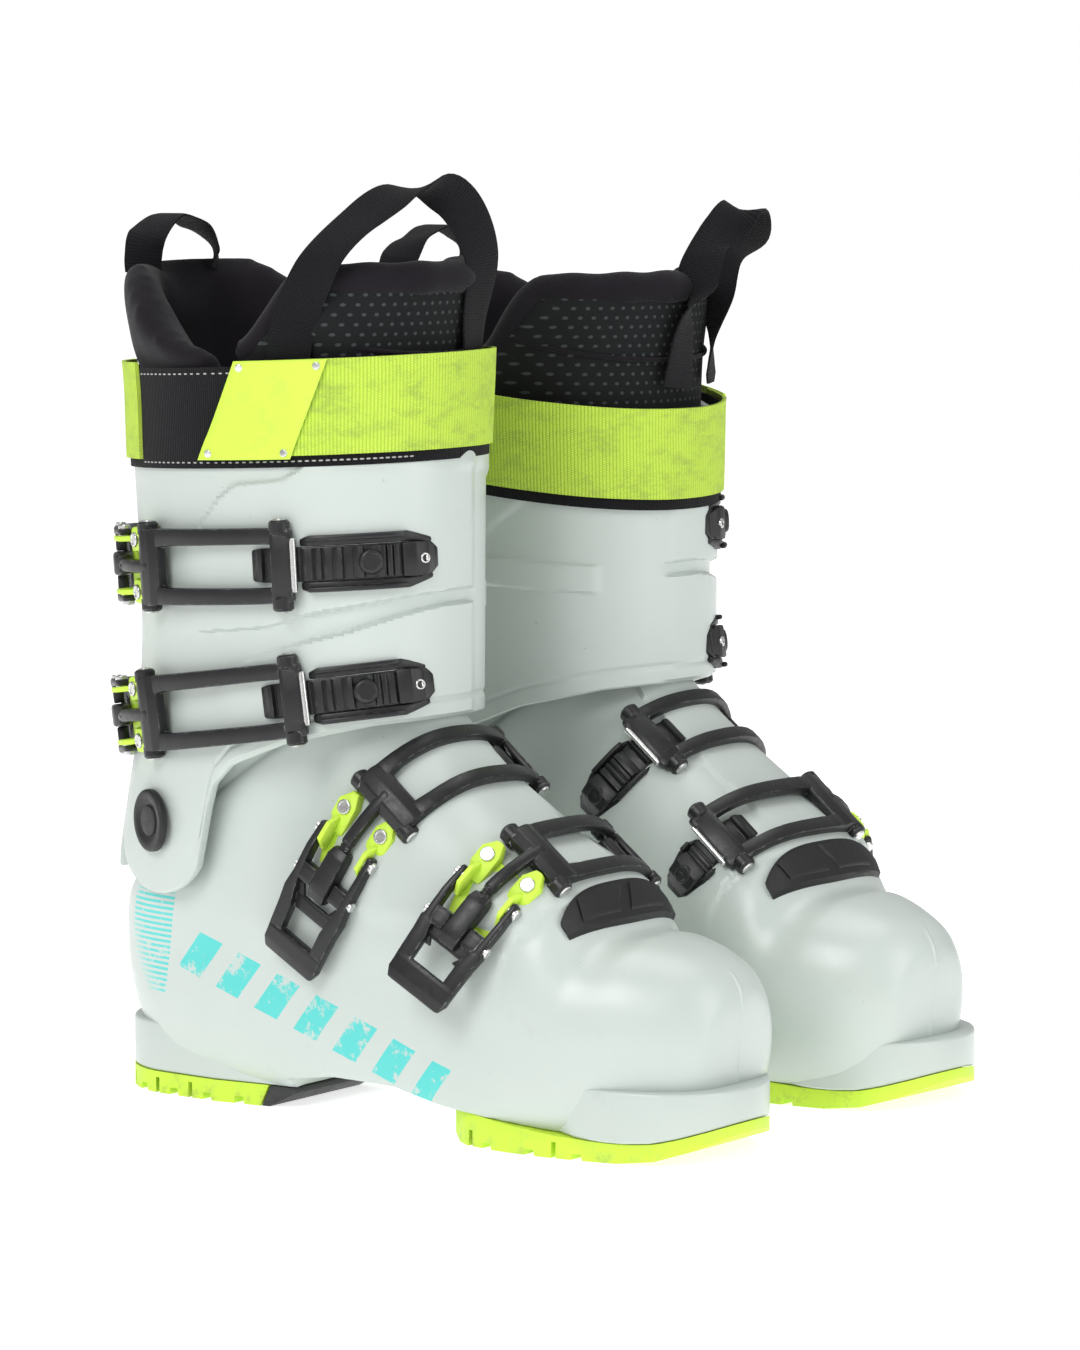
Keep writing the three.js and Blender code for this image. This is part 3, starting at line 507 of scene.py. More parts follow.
def corner_places(obj):
    """Where the object's points are, in the frame's metres."""
    flat = np.zeros(len(obj.data.vertices) * 3)
    obj.data.vertices.foreach_get("co", flat)
    return flat.reshape(-1, 3)


def redraw(obj, side):
    """Writes the place on the drawing again after the points have changed."""
    c, s = math.cos(TOE_IN), math.sin(TOE_IN)
    row = corner_places(obj) * 1000
    wide = (-row[:, 1] if side == "left" else row[:, 1]) + HALF_SPACING
    along = row[:, 0] + LENGTH_CENTRE
    drawn = np.column_stack([along * c + wide * s, wide * c - along * s, row[:, 2]])
    if "drawn" in obj.data.attributes:
        obj.data.attributes.remove(obj.data.attributes["drawn"])
    made = obj.data.attributes.new("drawn", "FLOAT_VECTOR", "POINT")
    made.data.foreach_set("vector", drawn.astype(np.float32).ravel())


def bevelled(obj, width, side, segments=2, angle=30):
    modifier = obj.modifiers.new("bevel", "BEVEL")
    modifier.width = width / 1000
    modifier.segments = segments
    modifier.limit_method = "ANGLE"
    modifier.angle_limit = math.radians(angle)
    bake(obj)
    redraw(obj, side)
    obj.data.polygons.foreach_set("use_smooth", [True] * len(obj.data.polygons))
    obj.data.set_sharp_from_angle(angle=math.radians(50))


def tread(places, depth):
    """Grooves across the tread, 5 mm wide at the floor, as part of a profile."""
    return [p for x in places for p in ((x - 2.5, 0), (x - 2, depth), (x + 2, depth), (x + 2.5, 0))]


def sole(name, side, outline, profile, grooves, material):
    """A block with the outline seen from above and the profile seen from the side, notched along its edges."""
    body = piece(name, side, [prism([(x, y, -1) for x, y in outline], [0, 0, 21])], material, "sole")
    flat = prism([(x, 60, z) for x, z in profile], [0, -120, 0])
    cut(body, piece("profile", side, [flat], material, "sole"), "INTERSECT")
    for start, end in grooves:
        notch = prism([(start, 26, -2), (end, 26, -2), (end, 60, -2), (start, 60, -2)], [0, 0, 8.5])
        mirror = (notch[0] * [1, -1, 1], notch[1])
        cut(body, piece("notch", side, [notch, mirror], material, "sole"))
    bevelled(body, 0.5, side)
    return body


for side in SIDES:
    heel_profile = [(8, 0), *tread((22, 40, 58, 74), 3), (84, 0), (88, 9), (0, 9), (0, 7)]
    heel = sole(f"{side} heel sole", side, HEEL_OUTLINE, heel_profile, ((12, 14), (30, 32), (48, 50)),
                lime_rubber)
    wedge_profile = [(84.6, 0), (88, 0), (101, 6.5), (101, 9), (88.6, 9)]
    wedge = sole(f"{side} heel wedge", side, HEEL_OUTLINE, wedge_profile, (), black_rubber)
    toe_profile = [(192, 3), (196, 0), *tread((214, 235, 256), 2.5), (272, 0), (288, 2), (300, 6), (312, 12.5),
                   *TOE_JOINT[::-1]]
    toe = sole(f"{side} toe sole", side, TOE_OUTLINE, toe_profile, ((204, 206), (245, 247)), lime_rubber)
    for block, node in ((heel, "heel_sole"), (wedge, "heel_sole"), (toe, "toe_sole")):
        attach(block, f"{side}_shell_body")
        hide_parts(f"{side}_{node}")

# ---------------------------------------------------------------- toe insert
# A black plate clipped into the step above the toes, with a raised field that slanted grooves divide.
# On the real boot it closes the front end of the overlap, where water would run in.


def coated_material(name, colour, wear, rough=0.32, bare=(0.55, 0.55, 0.56)):
    """Black coating over cast metal, rubbed through to bright metal on its edges."""
    shade = Shader(name)
    place = shade.drawn()[0]
    patches = shade.ramp(shade.noise(place, 0.25, 6, 0.75), 0.50, 0.66)
    rubbed = shade.math("MULTIPLY", shade.edges(0.0012), patches, clamp=True)
    rubbed = shade.math("MULTIPLY", rubbed, wear, clamp=True)
    grey = shade.mix(shade.noise(place, 0.08, 5), colour, tuple(c * 1.6 + 0.002 for c in colour))
    shade.drive("Base Color", shade.mix(rubbed, grey, bare))
    shade.drive("Metallic", shade.times(rubbed, 0.9))
    shade.plain(Specular_IOR_Level=0.4)
    worn_gloss = shade.noise(place, 0.3, 5, 0.7)
    shade.drive("Roughness", shade.ramp(worn_gloss, 0.3, 0.75, rough, rough + 0.2))
    shade.bump(shade.noise(place, 0.9, 4, 0.7), 0.2, 0.25)
    return shade.material


BLACK = (0.008, 0.008, 0.009)
black_plastic = coated_material("black plastic", BLACK, 0.25, 0.38, (0.12, 0.12, 0.12))


def border(grid):
    """The outline of a grid of points, once round."""
    return np.concatenate([grid[0, :-1], grid[:-1, -1], grid[-1, :0:-1], grid[:0:-1, 0]])


def slab(top, low, soft=0.22):
    """A curved plate between two grids of points, with its upper edge rounded."""
    rows, columns = top.shape[:2]
    rim = top + (low - top) * 0.35
    inset = top.copy()
    for idx, near in ((0, 1), (-1, -2)):
        inset[idx] = inset[idx] + (inset[near] - inset[idx]) * soft
        inset[:, idx] = inset[:, idx] + (inset[:, near] - inset[:, idx]) * soft
    size = rows * columns
    faces = [(i * columns + j, i * columns + j + 1, (i + 1) * columns + j + 1, (i + 1) * columns + j)
             for i in range(rows - 1) for j in range(columns - 1)]
    faces += [tuple(size + k for k in reversed(face)) for face in faces]
    upper = border(np.arange(size).reshape(rows, columns, 1))[:, 0]
    count = len(upper)
    for k in range(count):
        m = (k + 1) % count
        a, b = 2 * size + k, 2 * size + m
        faces.append((int(upper[m]), int(upper[k]), a, b))
        faces.append((b, a, int(upper[k]) + size, int(upper[m]) + size))
    return np.vstack([inset.reshape(-1, 3), low.reshape(-1, 3), border(rim)]), faces


TOE_PLATE_TURN = math.radians(38)


def toe_plate(u_from, u_to, v_from, v_to, bottom, top, lean=0.0):
    """A plate that follows the skin over the toes: u runs across it and v up the slope."""
    u = np.linspace(u_from, u_to, 26)[None, :]
    v = np.linspace(v_from, v_to, 9)[:, None]
    u = u + lean * (v - 0.5)
    low = 5.12 + 0.34 * np.abs(u) ** 1.6
    high = 6.02 - 0.26 * np.abs(u) ** 3
    place = low + (high - low) * v
    return slab(*(skin_point(SHELL, place, TOE_PLATE_TURN * u + 0.02, -lift) for lift in (top, bottom)))


for side in SIDES:
    parts = [toe_plate(-1, 1, 0, 1, -2, 2.4), toe_plate(-0.62, -0.04, 0.2, 0.84, 1, 3.5, 0.14),
             toe_plate(0.04, 0.62, 0.2, 0.84, 1, 3.5, 0.14)]
    insert = piece(f"{side} toe insert", side, parts, black_plastic, "black_plastic")
    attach(insert, f"{side}_shell_body")
    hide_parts(f"{side}_toe_insert")

# ---------------------------------------------------------------- cuff
# The cuff is a softer moulding of the same colour that wraps the shin and turns on two rivets at the ankle.
# Its two flaps overlap in front; raised fields run along their edges, and the lower edge drops to an ear.

CUFF = np.array([
    [150, 78, 1, 76, 53, 0.5, 2.15, 2.5, 0], [158, 102, 1, 98, 56, 0.5, 2.15, 2.5, 0],
    [163, 130, 4, 122, 58, 0.5, 2.15, 2.3, 0], [164, 163, 9, 157, 58, 0.5, 2.15, 2.15, 0],
    [164, 200, 12, 196, 58.5, 0.5, 2.15, 2.15, 0], [164, 228, 11, 232, 59, 0.5, 2.15, 2.15, 0],
    [164, 254, 9, 266, 60, 0.5, 2.15, 2.15, 0], [164, 277, 8, 297, 60.5, 0.5, 2.15, 2.15, 0],
], float)
SHAFT = np.vstack([CUFF, [
    [165, 300, 6, 314, 61, 0.5, 2.15, 2.15, 0], [166, 325, 4, 331, 62, 0.5, 2.15, 2.15, 0],
    [170, 358, 1, 352, 64, 0.5, 2.15, 2.15, 0],
]])
CUFF_TOP = len(CUFF) - 1
ANKLE_X, ANKLE_Z = 47, 119
ear = [(ANKLE_X + 30 * math.cos(t), ANKLE_Z + 30 * math.sin(t)) for t in np.radians(np.arange(-165, -4, 8))]
cuff_edge = edge_line([(-20, 96), (16, 96), *ear, (78.5, 126), (82, 137), (92, 146.5), (118, 157), (150, 165),
                       (190, 170)])


def place_on(sections, angles, line, low, high):
    """For each angle, the place at which the skin crosses a line of heights over x."""
    def is_below(place):
        p = skin_point(sections, place, angles)
        return p[:, 2] < line(p[:, 0])

    low, high = narrowed(np.full(len(angles), float(low)), np.full(len(angles), float(high)), 26, is_below)
    return (low + high) / 2


upper_field = edge_line([(60, 226), (76, 240), (88, 254), (97, 260.5), (118, 263), (126, 268), (133, 282),
                         (150, 290)])
upper_flap = edge_line([(-20, 196), (60, 198), (110, 204), (132, 211), (165, 218.5), (180, 221)])
lower_flap = edge_line([(-20, 150), (88, 178), (100, 189), (118, 195), (142, 202), (165, 212), (180, 216)])
inner_curve = edge_line([(-20, 190), (40, 200), (90, 220), (130, 252), (170, 270)])


def cuff_relief(p):
    """How far the cuff stands proud or lies low: two raised fields, the slot between them, a groove."""
    x, y, z = np.moveaxis(p, -1, 0)
    outer = smooth(y, 14, 6)
    upper = smooth(z, upper_flap(x) - 1.0, upper_flap(x)) * smooth(x, 62, 84) * smooth(z, 276, 266)
    upper = upper * smooth(z, upper_field(x) + 1.0, upper_field(x) - 0.2)
    slot = smooth(z, lower_flap(x), lower_flap(x) + 1.2) * smooth(z, upper_flap(x), upper_flap(x) - 1.2)
    slot = slot * smooth(x, 118, 134)
    lower = smooth(z, lower_flap(x) + 0.8, lower_flap(x)) * smooth(x, 82, 98)
    groove = np.exp(-((z - (cuff_edge(x) + 7)) / 1.1) ** 2) * smooth(x, 60, 90)
    inner = smooth(y, -6, 6)
    rib = smooth(np.abs(z - 216 + 0.05 * (x - 60)), 6.5, 5.2) * smooth(x, 58, 62) * smooth(x, 150, 146)
    wave = smooth(z, inner_curve(x) - 2, inner_curve(x) + 2)
    proud = outer * (1.7 * upper - 1.6 * slot + 1.5 * lower)
    return proud + inner * (1.4 * rib + 1.2 * wave) - 0.7 * groove


def cuff_parts():
    """The cuff's wall: from its shaped lower edge the rows spread into level ones, so the top stays even."""
    count = 300
    angles = np.linspace(0, 2 * np.pi, count, endpoint=False)
    start = place_on(CUFF, angles, cuff_edge, 0, 4)
    level = 3.7
    share = np.linspace(0, 1, 200)[:, None]
    lower = start[None, :] + (level - start[None, :]) * np.minimum(share / 0.45, 1)
    places = lower + (CUFF_TOP - level) * np.maximum(share - 0.45, 0) / 0.55
    outer = skin_point(CUFF, places, angles[None, :])
    outer = push_out(outer, cuff_relief(outer) * smooth(share, 0, 0.02) * smooth(share, 1, 0.985))
    inner = skin_point(CUFF, places[::-2], angles[None, :], 4.0)
    rolls = []
    for a, b, up in ((outer[-1], inner[0], 1), (inner[-1], outer[0], -1)):
        rolls.append([a + (b - a) * t + [0, 0, up * h]
                      for t, h in ((0.1, 0.6), (0.3, 1.0), (0.7, 1.0), (0.9, 0.6))])
    return [tube(np.concatenate([outer, rolls[0], inner, rolls[1]]), closed=True)]


cuff_plastic = shell_material("cuff plastic", False)
for side in SIDES:
    cuff = piece(f"{side} cuff", side, cuff_parts(), cuff_plastic, "shell", crease=32)
    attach(cuff, f"{side}_cuff_body")
    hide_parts(f"{side}_cuff")

# ---------------------------------------------------------------- ankle rivets
# A black cap about 26 mm across on each side of the ankle covers the steel rivet that the cuff turns on.
# The cap is dished, with a slot by which the rivet is held while its inside is screwed up.


def lathe(centre, axis, profile, count=40):
    """A turned shape: (radius, height along the axis) pairs round an axis."""
    axis = np.array(axis, float) / np.linalg.norm(axis)
    u = np.cross(axis, [0, 0, 1.0]) if abs(axis[2]) < 0.9 else np.cross(axis, [1.0, 0, 0])
    u /= np.linalg.norm(u)
    v = np.cross(axis, u)
    turn = np.linspace(0, 2 * np.pi, count, endpoint=False)[:, None]
    circle = np.cos(turn) * u + np.sin(turn) * v
    return tube(np.array([np.array(centre) + circle * r + axis * h for r, h in profile]))


def cap_profile(radius, bottom, top, edge, dish=0.0):
    profile = [(radius, bottom)]
    for k in range(5):
        turn = k / 4 * math.pi / 2
        profile.append((radius - edge * (1 - math.cos(turn)), top - edge * (1 - math.sin(turn))))
    if dish:
        profile += [(radius * 0.72, top), (radius * 0.62, top - dish), (radius * 0.1, top - dish)]
    else:
        profile.append((radius * 0.1, top))
    return profile


def rivet_seat(hand):
    """The place on the cuff's skin, on its outer or inner side, that the rivet sits on."""
    angles = np.linspace(1.6, 2.8, 300) * hand
    points = skin_point(CUFF, np.full(300, 1.62), angles)
    best = points[np.argmin(np.abs(points[:, 0] - ANKLE_X))]
    return np.array([ANKLE_X, best[1], ANKLE_Z])


for side in SIDES:
    for hand, word in ((-1, "outer"), (1, "inner")):
        tilt = math.radians(22.5)
        axis = (-math.sin(tilt), hand * math.cos(tilt), 0)
        seat = rivet_seat(hand)
        parts = [lathe(seat, axis, cap_profile(13, 0.6, 3.4, 1.2, 0.9)),
                 lathe(seat, axis, cap_profile(6.5, -6, 3.1, 0.6))]
        cap = piece(f"{side} rivet {word}", side, parts, black_plastic, "black_plastic")
        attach(cap, f"{side}_shell_body")
        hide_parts(f"{side}_pivot_rivet_{word}")

# ---------------------------------------------------------------- liner
# The liner is a foam boot in black fabric with a velvet collar, worn inside the shell.
# Its foot sits in the shell; the shaft rises out of the cuff, and a separate padded tongue closes its front.

LINER_DROP = {"right": 0, "left": 10}
HOLE_PITCH = 4.0
COLLAR_FRONT = 91
TONGUE_HALF = 85


def cloth_material(name, colour, light, sheen, pattern=None):
    """Matt fabric with a fine nap and some lint; the mesh pattern adds rows of small round holes."""
    shade = Shader(name)
    place, _, y, z = shade.drawn()
    fuzz = shade.noise(place, 1.6, 5, 0.7)
    cloud = shade.noise(place, 0.06, 4)
    base = shade.mix(shade.times(fuzz, cloud), colour, light)
    lint = shade.ramp(shade.noise(place, 0.8, 2), 0.80, 0.83)
    base = shade.mix(shade.times(lint, 0.25), base, (0.2, 0.2, 0.2))
    height = fuzz
    if pattern == "mesh":
        rows = shade.math("FLOOR", shade.over(z, HOLE_PITCH))
        odd = shade.times(shade.math("FRACT", shade.times(rows, 0.5)), HOLE_PITCH)
        u = shade.minus(shade.math("FRACT", shade.over(shade.plus(y, odd), HOLE_PITCH)), 0.5)
        v = shade.minus(shade.math("FRACT", shade.over(z, HOLE_PITCH)), 0.5)
        round_ = shade.plus(shade.times(u, u), shade.times(v, v))
        holes = shade.ramp(round_, 0.045, 0.02)
        base = shade.mix(shade.times(holes, 0.9), base, (0.05, 0.055, 0.058))
        height = shade.minus(shade.times(fuzz, 0.3), holes)
    shade.drive("Base Color", base)
    shade.plain(Roughness=0.92, Specular_IOR_Level=0.2, Sheen_Weight=sheen, Sheen_Roughness=0.4)
    shade.bump(height, 0.5, 0.6)
    return shade.material


velvet = cloth_material("black velvet", (0.006, 0.005, 0.007), (0.016, 0.013, 0.018), 0.12)
mesh_cloth = cloth_material("perforated cloth", (0.007, 0.0075, 0.008), (0.014, 0.015, 0.016), 0.06, "mesh")
grey_felt = cloth_material("footbed felt", (0.05, 0.05, 0.055), (0.12, 0.12, 0.13), 0.2)


SWELL_PRESSURE = 4
SWELL_FRAMES = 20


def puff(obj, side, voxel, cap, low, high):
    """Swells a padded piece by a short cloth simulation, more from the height low to the height high."""
    modifier = obj.modifiers.new("remesh", "REMESH")
    modifier.mode = "VOXEL"
    modifier.voxel_size = voxel / 1000
    bake(obj)
    rest = corner_places(obj)
    cloth = obj.modifiers.new("swell", "CLOTH")
    cloth.settings.use_pressure = True
    cloth.settings.uniform_pressure_force = SWELL_PRESSURE
    cloth.settings.effector_weights.gravity = 0
    cloth.settings.quality = 5
    scene = bpy.context.scene
    for number in range(1, SWELL_FRAMES + 1):
        scene.frame_set(number)
    bake(obj)
    scene.frame_set(1)
    step = corner_places(obj) - rest
    length = np.linalg.norm(step, axis=1, keepdims=True)
    limit = cap / 1000 * smooth(rest[:, 2:3] * 1000, low, high)
    step *= np.minimum(1, limit / np.maximum(length, 1e-9))
    obj.data.vertices.foreach_set("co", (rest + step).ravel())
    rounder = obj.modifiers.new("smooth", "SMOOTH")
    rounder.factor = 0.5
    rounder.iterations = 4
    finer = obj.modifiers.new("finer", "SUBSURF")
    finer.levels = 1
    bake(obj)
    redraw(obj, side)
    obj.data.polygons.foreach_set("use_smooth", [True] * len(obj.data.polygons))


def place_on_height(angles, heights):
    """For each angle, the place at which the liner's skin reaches a height."""
    low, high = narrowed(np.full(len(angles), 6.0), np.full(len(angles), 10.0), 24,
                         lambda place: skin_point(SHAFT, place, angles)[:, 2] < heights)
    return (low + high) / 2


def open_wall(angles, bottom, top, outer_inset, thick, roll):
    """A wall of foam with a rolled top edge, as one body that ends at the first and the last angle."""
    start = place_on(SHAFT, angles, lambda x: np.interp(x, [0, 60, 170], bottom), 2.4, 6)
    end = place_on_height(angles, top)
    out, back = [], []
    for t in np.linspace(0, 1, 46):
        places = start + (end - start) * t
        swell = roll * smooth(t, 0.72, 0.97)
        out.append(skin_point(SHAFT, places, angles, outer_inset - swell * 0.5))
        back.append(skin_point(SHAFT, places, angles, outer_inset + thick + swell * 0.5))
    over = [out[-1] * (1 - u) + back[-1] * u + [0, 0, math.sin(math.pi * u) * (thick + roll) * 0.42]
            for u in (0.08, 0.2, 0.35, 0.5, 0.65, 0.8, 0.92)]
    return tube(np.moveaxis(np.concatenate([out, over, back[::-1]]), 1, 0))


def collar_height(angles, drop):
    """The height of the collar's top, which climbs from the front edges to the back of the leg."""
    turn = np.abs(angles) / math.pi
    return 312 + 35 * smooth(turn, 0.46, 0.80) - drop


def rolled_edge(angles, heights, inset, radius):
    """A round padded roll along the top of the tongue, thinner towards its two ends."""
    places = place_on_height(angles, heights)
    centre = skin_point(SHAFT, places, angles, inset)
    out = skin_point(SHAFT, places, angles, inset - 5.0) - centre
    out /= np.linalg.norm(out, axis=-1, keepdims=True)
    ahead = np.gradient(centre, axis=0)
    up = np.cross(ahead, out)
    up /= np.linalg.norm(up, axis=-1, keepdims=True)
    size = radius * (0.62 + 0.38 * np.sin(np.pi * np.linspace(0, 1, len(angles))) ** 0.5)
    size[[0, -1]] *= 0.45
    turn = np.linspace(0, 2 * np.pi, 24, endpoint=False)[None, :, None]
    lumps = 1 + 0.05 * np.sin(angles * 17)[:, None, None]
    circle = np.cos(turn) * out[:, None] + np.sin(turn) * up[:, None]
    return tube(centre[:, None] + circle * (size[:, None, None] * lumps))


for side in SIDES:
    drop = LINER_DROP[side]
    angles = np.radians(np.linspace(COLLAR_FRONT, 360 - COLLAR_FRONT, 120))
    signed = np.where(angles > math.pi, angles - 2 * math.pi, angles)
    shaft = open_wall(angles, (178, 185, 206), collar_height(signed, drop) - 4, 5.0, 7.0, 6.5)
    collar = piece(f"{side} liner shaft", side, [shaft], velvet, "liner")
    puff(collar, side, 4.0, 5, 300, 318)
    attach(collar, f"{side}_cuff_body")
    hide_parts(f"{side}_liner_shaft")

    angles = np.radians(np.linspace(-TONGUE_HALF, TONGUE_HALF, 110))
    heights = 344 - drop - 30 * smooth(np.abs(angles), 1.0, 1.46)
    pad = open_wall(angles, (200, 200, 214), heights, 6.0, 6.0, 2.0)
    tongue = piece(f"{side} tongue", side, [pad], mesh_cloth, "liner")
    puff(tongue, side, 4.0, 3, 306, 325)
    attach(tongue, f"{side}_cuff_body")
    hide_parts(f"{side}_tongue")
    rim = piece(f"{side} tongue rim", side, [rolled_edge(angles, heights, 9.0, 7.0)], velvet, "liner")
    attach(rim, f"{side}_cuff_body")
    arch = 313.0 - drop + 9 * np.linspace(-1, 1, 90) ** 2
    seam = rolled_edge(np.linspace(-1.25, 1.25, 90), arch, 5.2, 1.0)
    piping = piece(f"{side} tongue piping", side, [seam], velvet, "liner")
    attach(piping, f"{side}_cuff_body")

    outer = skin(SHELL, np.linspace(2.2, 19.6, 70), 90, 5.4, 24.8)
    inner = skin(SHELL, np.linspace(19.6, 3.0, 60), 90, 12.2, 32)
    edge = [outer[-1] + (inner[0] - outer[-1]) * t + [0, 0, h] for t, h in ((0.2, 1.6), (0.5, 2.2), (0.8, 1.6))]
    foot = piece(f"{side} liner foot", side, [tube(np.concatenate([outer, edge, inner]))], velvet, "liner")
    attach(foot, f"{side}_shell_body")
    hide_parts(f"{side}_liner_foot")

    heel_turn = np.linspace(math.pi / 2, 1.5 * math.pi, 24)
    outline = [(38 + 26 * math.cos(t), 24 * math.sin(t)) for t in heel_turn]
    outline += [(90, -23), (140, -26), (190, -33), (215, -34), (240, -28), (258, -12), (262, 4), (258, 18),
                (240, 31), (215, 34), (190, 31), (140, 22), (90, 22)]
    bed = piece(f"{side} footbed", side, [plan_slab(outline, level(31), 34.5, 1.2)], grey_felt,
                "liner")
    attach(bed, f"{side}_shell_body")

# ---------------------------------------------------------------- pull loops
# Black ribbed webbing 18 mm wide, folded into a loop and box-stitched: one on the tongue, one on the collar.
# Both are soft and stand by their own stiffness; the left tongue's loop has flopped to the outer side.


def webbing_material(name, colour, dark, rib=1.15, dirt=0.0):
    """Ribbed webbing. Its own coordinates run along the band and across it, in millimetres."""
    shade = Shader(name)
    place = shade.drawn()[0]
    run, along, across, _ = shade.drawn("run")
    ribs = shade.math("ABSOLUTE", shade.math("SINE", shade.times(along, math.pi / rib)))
    odd = shade.times(shade.math("FLOOR", shade.over(along, rib)), 0.5 * math.pi)
    yarn = shade.math("ABSOLUTE", shade.math("SINE", shade.plus(shade.times(across, math.pi), odd)))
    weave = shade.times(shade.math("POWER", ribs, 0.6), shade.plus(shade.times(yarn, 0.45), 0.55))
    fibre = shade.noise(shade.scaled(run, (1.0, 4.0, 1.0)), 1.5, 4, 0.7)
    base = shade.mix(shade.times(weave, shade.ramp(fibre, 0.2, 0.8, 0.6, 1.0)), dark, colour)
    if dirt:
        smudge = shade.ramp(shade.noise(shade.scaled(place, (1, 1, 2.2)), 0.07, 6, 0.75), 0.48, 0.72)
        worn = shade.plus(shade.times(smudge, dirt), shade.times(fibre, 0.10))
        base = shade.mix(worn, base, (0.20, 0.27, 0.08))
    shade.drive("Base Color", base)
    shade.plain(Roughness=0.85, Sheen_Weight=0.06, Specular_IOR_Level=0.12)
    shade.bump(shade.plus(weave, shade.times(fibre, 0.4)), 0.35, 0.8)
    return shade.material


def spline(points, count):
    """A smooth curve through points, evenly spread over its length."""
    p = np.array(points, float)
    p = np.vstack([2 * p[0] - p[1], p, 2 * p[-1] - p[-2]])
    line = section_at(p, np.linspace(1, len(p) - 2, 24 * (len(p) - 3) + 1))
    length = np.concatenate([[0], np.cumsum(np.linalg.norm(np.diff(line, axis=0), axis=1))])
    at = np.linspace(0, length[-1], count)
    return np.column_stack([np.interp(at, length, line[:, k]) for k in range(3)]), length[-1]


def band(route, widths, half, thick, count=90, cross=9):
    """A flat band along a route, with its width along the given directions. Also gives its own coordinates."""
    line, length = spline(route, count)
    wide, _ = spline(widths, count)
    ahead = np.gradient(line, axis=0)
    ahead /= np.linalg.norm(ahead, axis=1, keepdims=True)
    wide -= ahead * np.einsum("ij,ij->i", wide, ahead)[:, None]
    wide /= np.linalg.norm(wide, axis=1, keepdims=True)
    flat = np.cross(wide, ahead)
    a = np.linspace(-1, 1, cross)
    ring = [(t, 1.0 - 0.5 * abs(t) ** 8) for t in a] + [(t, -1.0 + 0.5 * abs(t) ** 8) for t in a[::-1]]
    rings, run = [], []
    for t, b in ring:
        rings.append(line + wide * t * half + flat * b * thick / 2)
        run.append(np.column_stack([np.linspace(0, length, count), np.full(count, t * half),
                                    np.full(count, b)]))
    rings = np.moveaxis(np.array(rings), 0, 1)
    run = np.moveaxis(np.array(run), 0, 1)
    verts, faces = tube(rings)
    return verts, faces, np.vstack([run.reshape(-1, 3), run[0].mean(0), run[-1].mean(0)]), length


def stitches(line, wide, out, long, thick):
    """Separate stitches along a line on a band: short rounded beads."""
    parts = []
    turn = np.linspace(0, 2 * np.pi, 6, endpoint=False)[:, None]
    for p, w, o in zip(line, wide, out):
        w = w / np.linalg.norm(w)
        o = o / np.linalg.norm(o)
        circle = (np.cos(turn) * np.cross(o, w) + np.sin(turn) * o * 0.6) * thick / 2
        parts.append(tube(np.array([p + w * t * long / 2 + circle * r
                                    for t, r in ((-1, 0.35), (-0.6, 0.9), (0, 1), (0.6, 0.9), (1, 0.35))])))
    return parts


black_webbing = webbing_material("black webbing", (0.012, 0.012, 0.014), (0.004, 0.004, 0.005))
thread = cloth_material("pale thread", (0.35, 0.35, 0.34), (0.55, 0.55, 0.53), 0.1)

# Where each loop's two legs lie on the tongue, the points of its arch, and how its width turns there.
TONGUE_LOOPS = {
    "right": {"legs": [(-1.15, -1.1, -0.95), (0.2, 0.2, 0.2)],
              "arch": [(144, -34, 370), (153, -18, 379), (162, 0, 376)],
              "turns": [(0.85, 0.5, 0), (1, 0.2, 0), (0.9, 0.4, 0.1)]},
    "left": {"legs": [(0.05, 0, -0.1), (-0.45, -0.45, -0.45)],
             "arch": [(174, -8, 366), (180, -20, 376), (174, -30, 366)],
             "turns": [(0.4, -0.9, 0), (0.9, -0.4, 0), (0.5, -0.8, 0)]},
}


REAR_ARCH = [(16, -22, 343), (16, -22, 349), (17, -20, 358), (17, -6, 366), (17.5, 10, 361), (18, 19, 354),
             (18, 22, 349), (18, 22, 343)]
REAR_TURNS = [(0.5, 0.9, 0), (0.5, 0.9, 0), (0.7, 0.7, 0.2), (1, 0, 0), (0.9, -0.3, 0.2), (0.7, -0.7, 0.1),
              (0.5, -0.9, 0), (0.5, -0.9, 0)]


def tongue_place(place, angle):
    """A point on the tongue's outside, and the level direction along it there."""
    p, ahead, behind = (skin_point(SHAFT, np.array(place), np.array(angle + d), 2.2) for d in (0, 0.05, -0.05))
    level = (ahead - behind) * [1, 1, 0]
    return p, level / np.linalg.norm(level)


for side in SIDES:
    drop = np.array([0, 0, LINER_DROP[side]])
    shape = TONGUE_LOOPS[side]
    legs = [[tongue_place(place, a) for place, a in zip((8.05, 9, 9.8), angles)] for angles in shape["legs"]]
    route = [p for p, _ in legs[0]] + [np.array(p) for p in shape["arch"]] + [p for p, _ in legs[1][::-1]]
    widths = [w for _, w in legs[0]] + [np.array(w) for w in shape["turns"]] + [w for _, w in legs[1][::-1]]
    verts, faces, run, length = band(route, widths, 9, 1.5)
    loop = piece(f"{side} tongue loop", side, [(verts - drop, faces)], black_webbing, "webbing", run)
    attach(loop, f"{side}_cuff_body")
    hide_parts(f"{side}_tongue_loop")

    verts, faces, run, length = band(REAR_ARCH, REAR_TURNS, 8, 1.5)
    loop = piece(f"{side} rear loop", side, [(verts - drop, faces)], black_webbing, "webbing", run)
    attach(loop, f"{side}_cuff_body")
    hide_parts(f"{side}_rear_loop")

# ---------------------------------------------------------------- power strap
# A 39 mm lime webbing strap holds the liner's top round the shin, over a stitched black backing.
# It passes under a stiff slanted lime tab that is riveted on at its corners, and closes on itself.

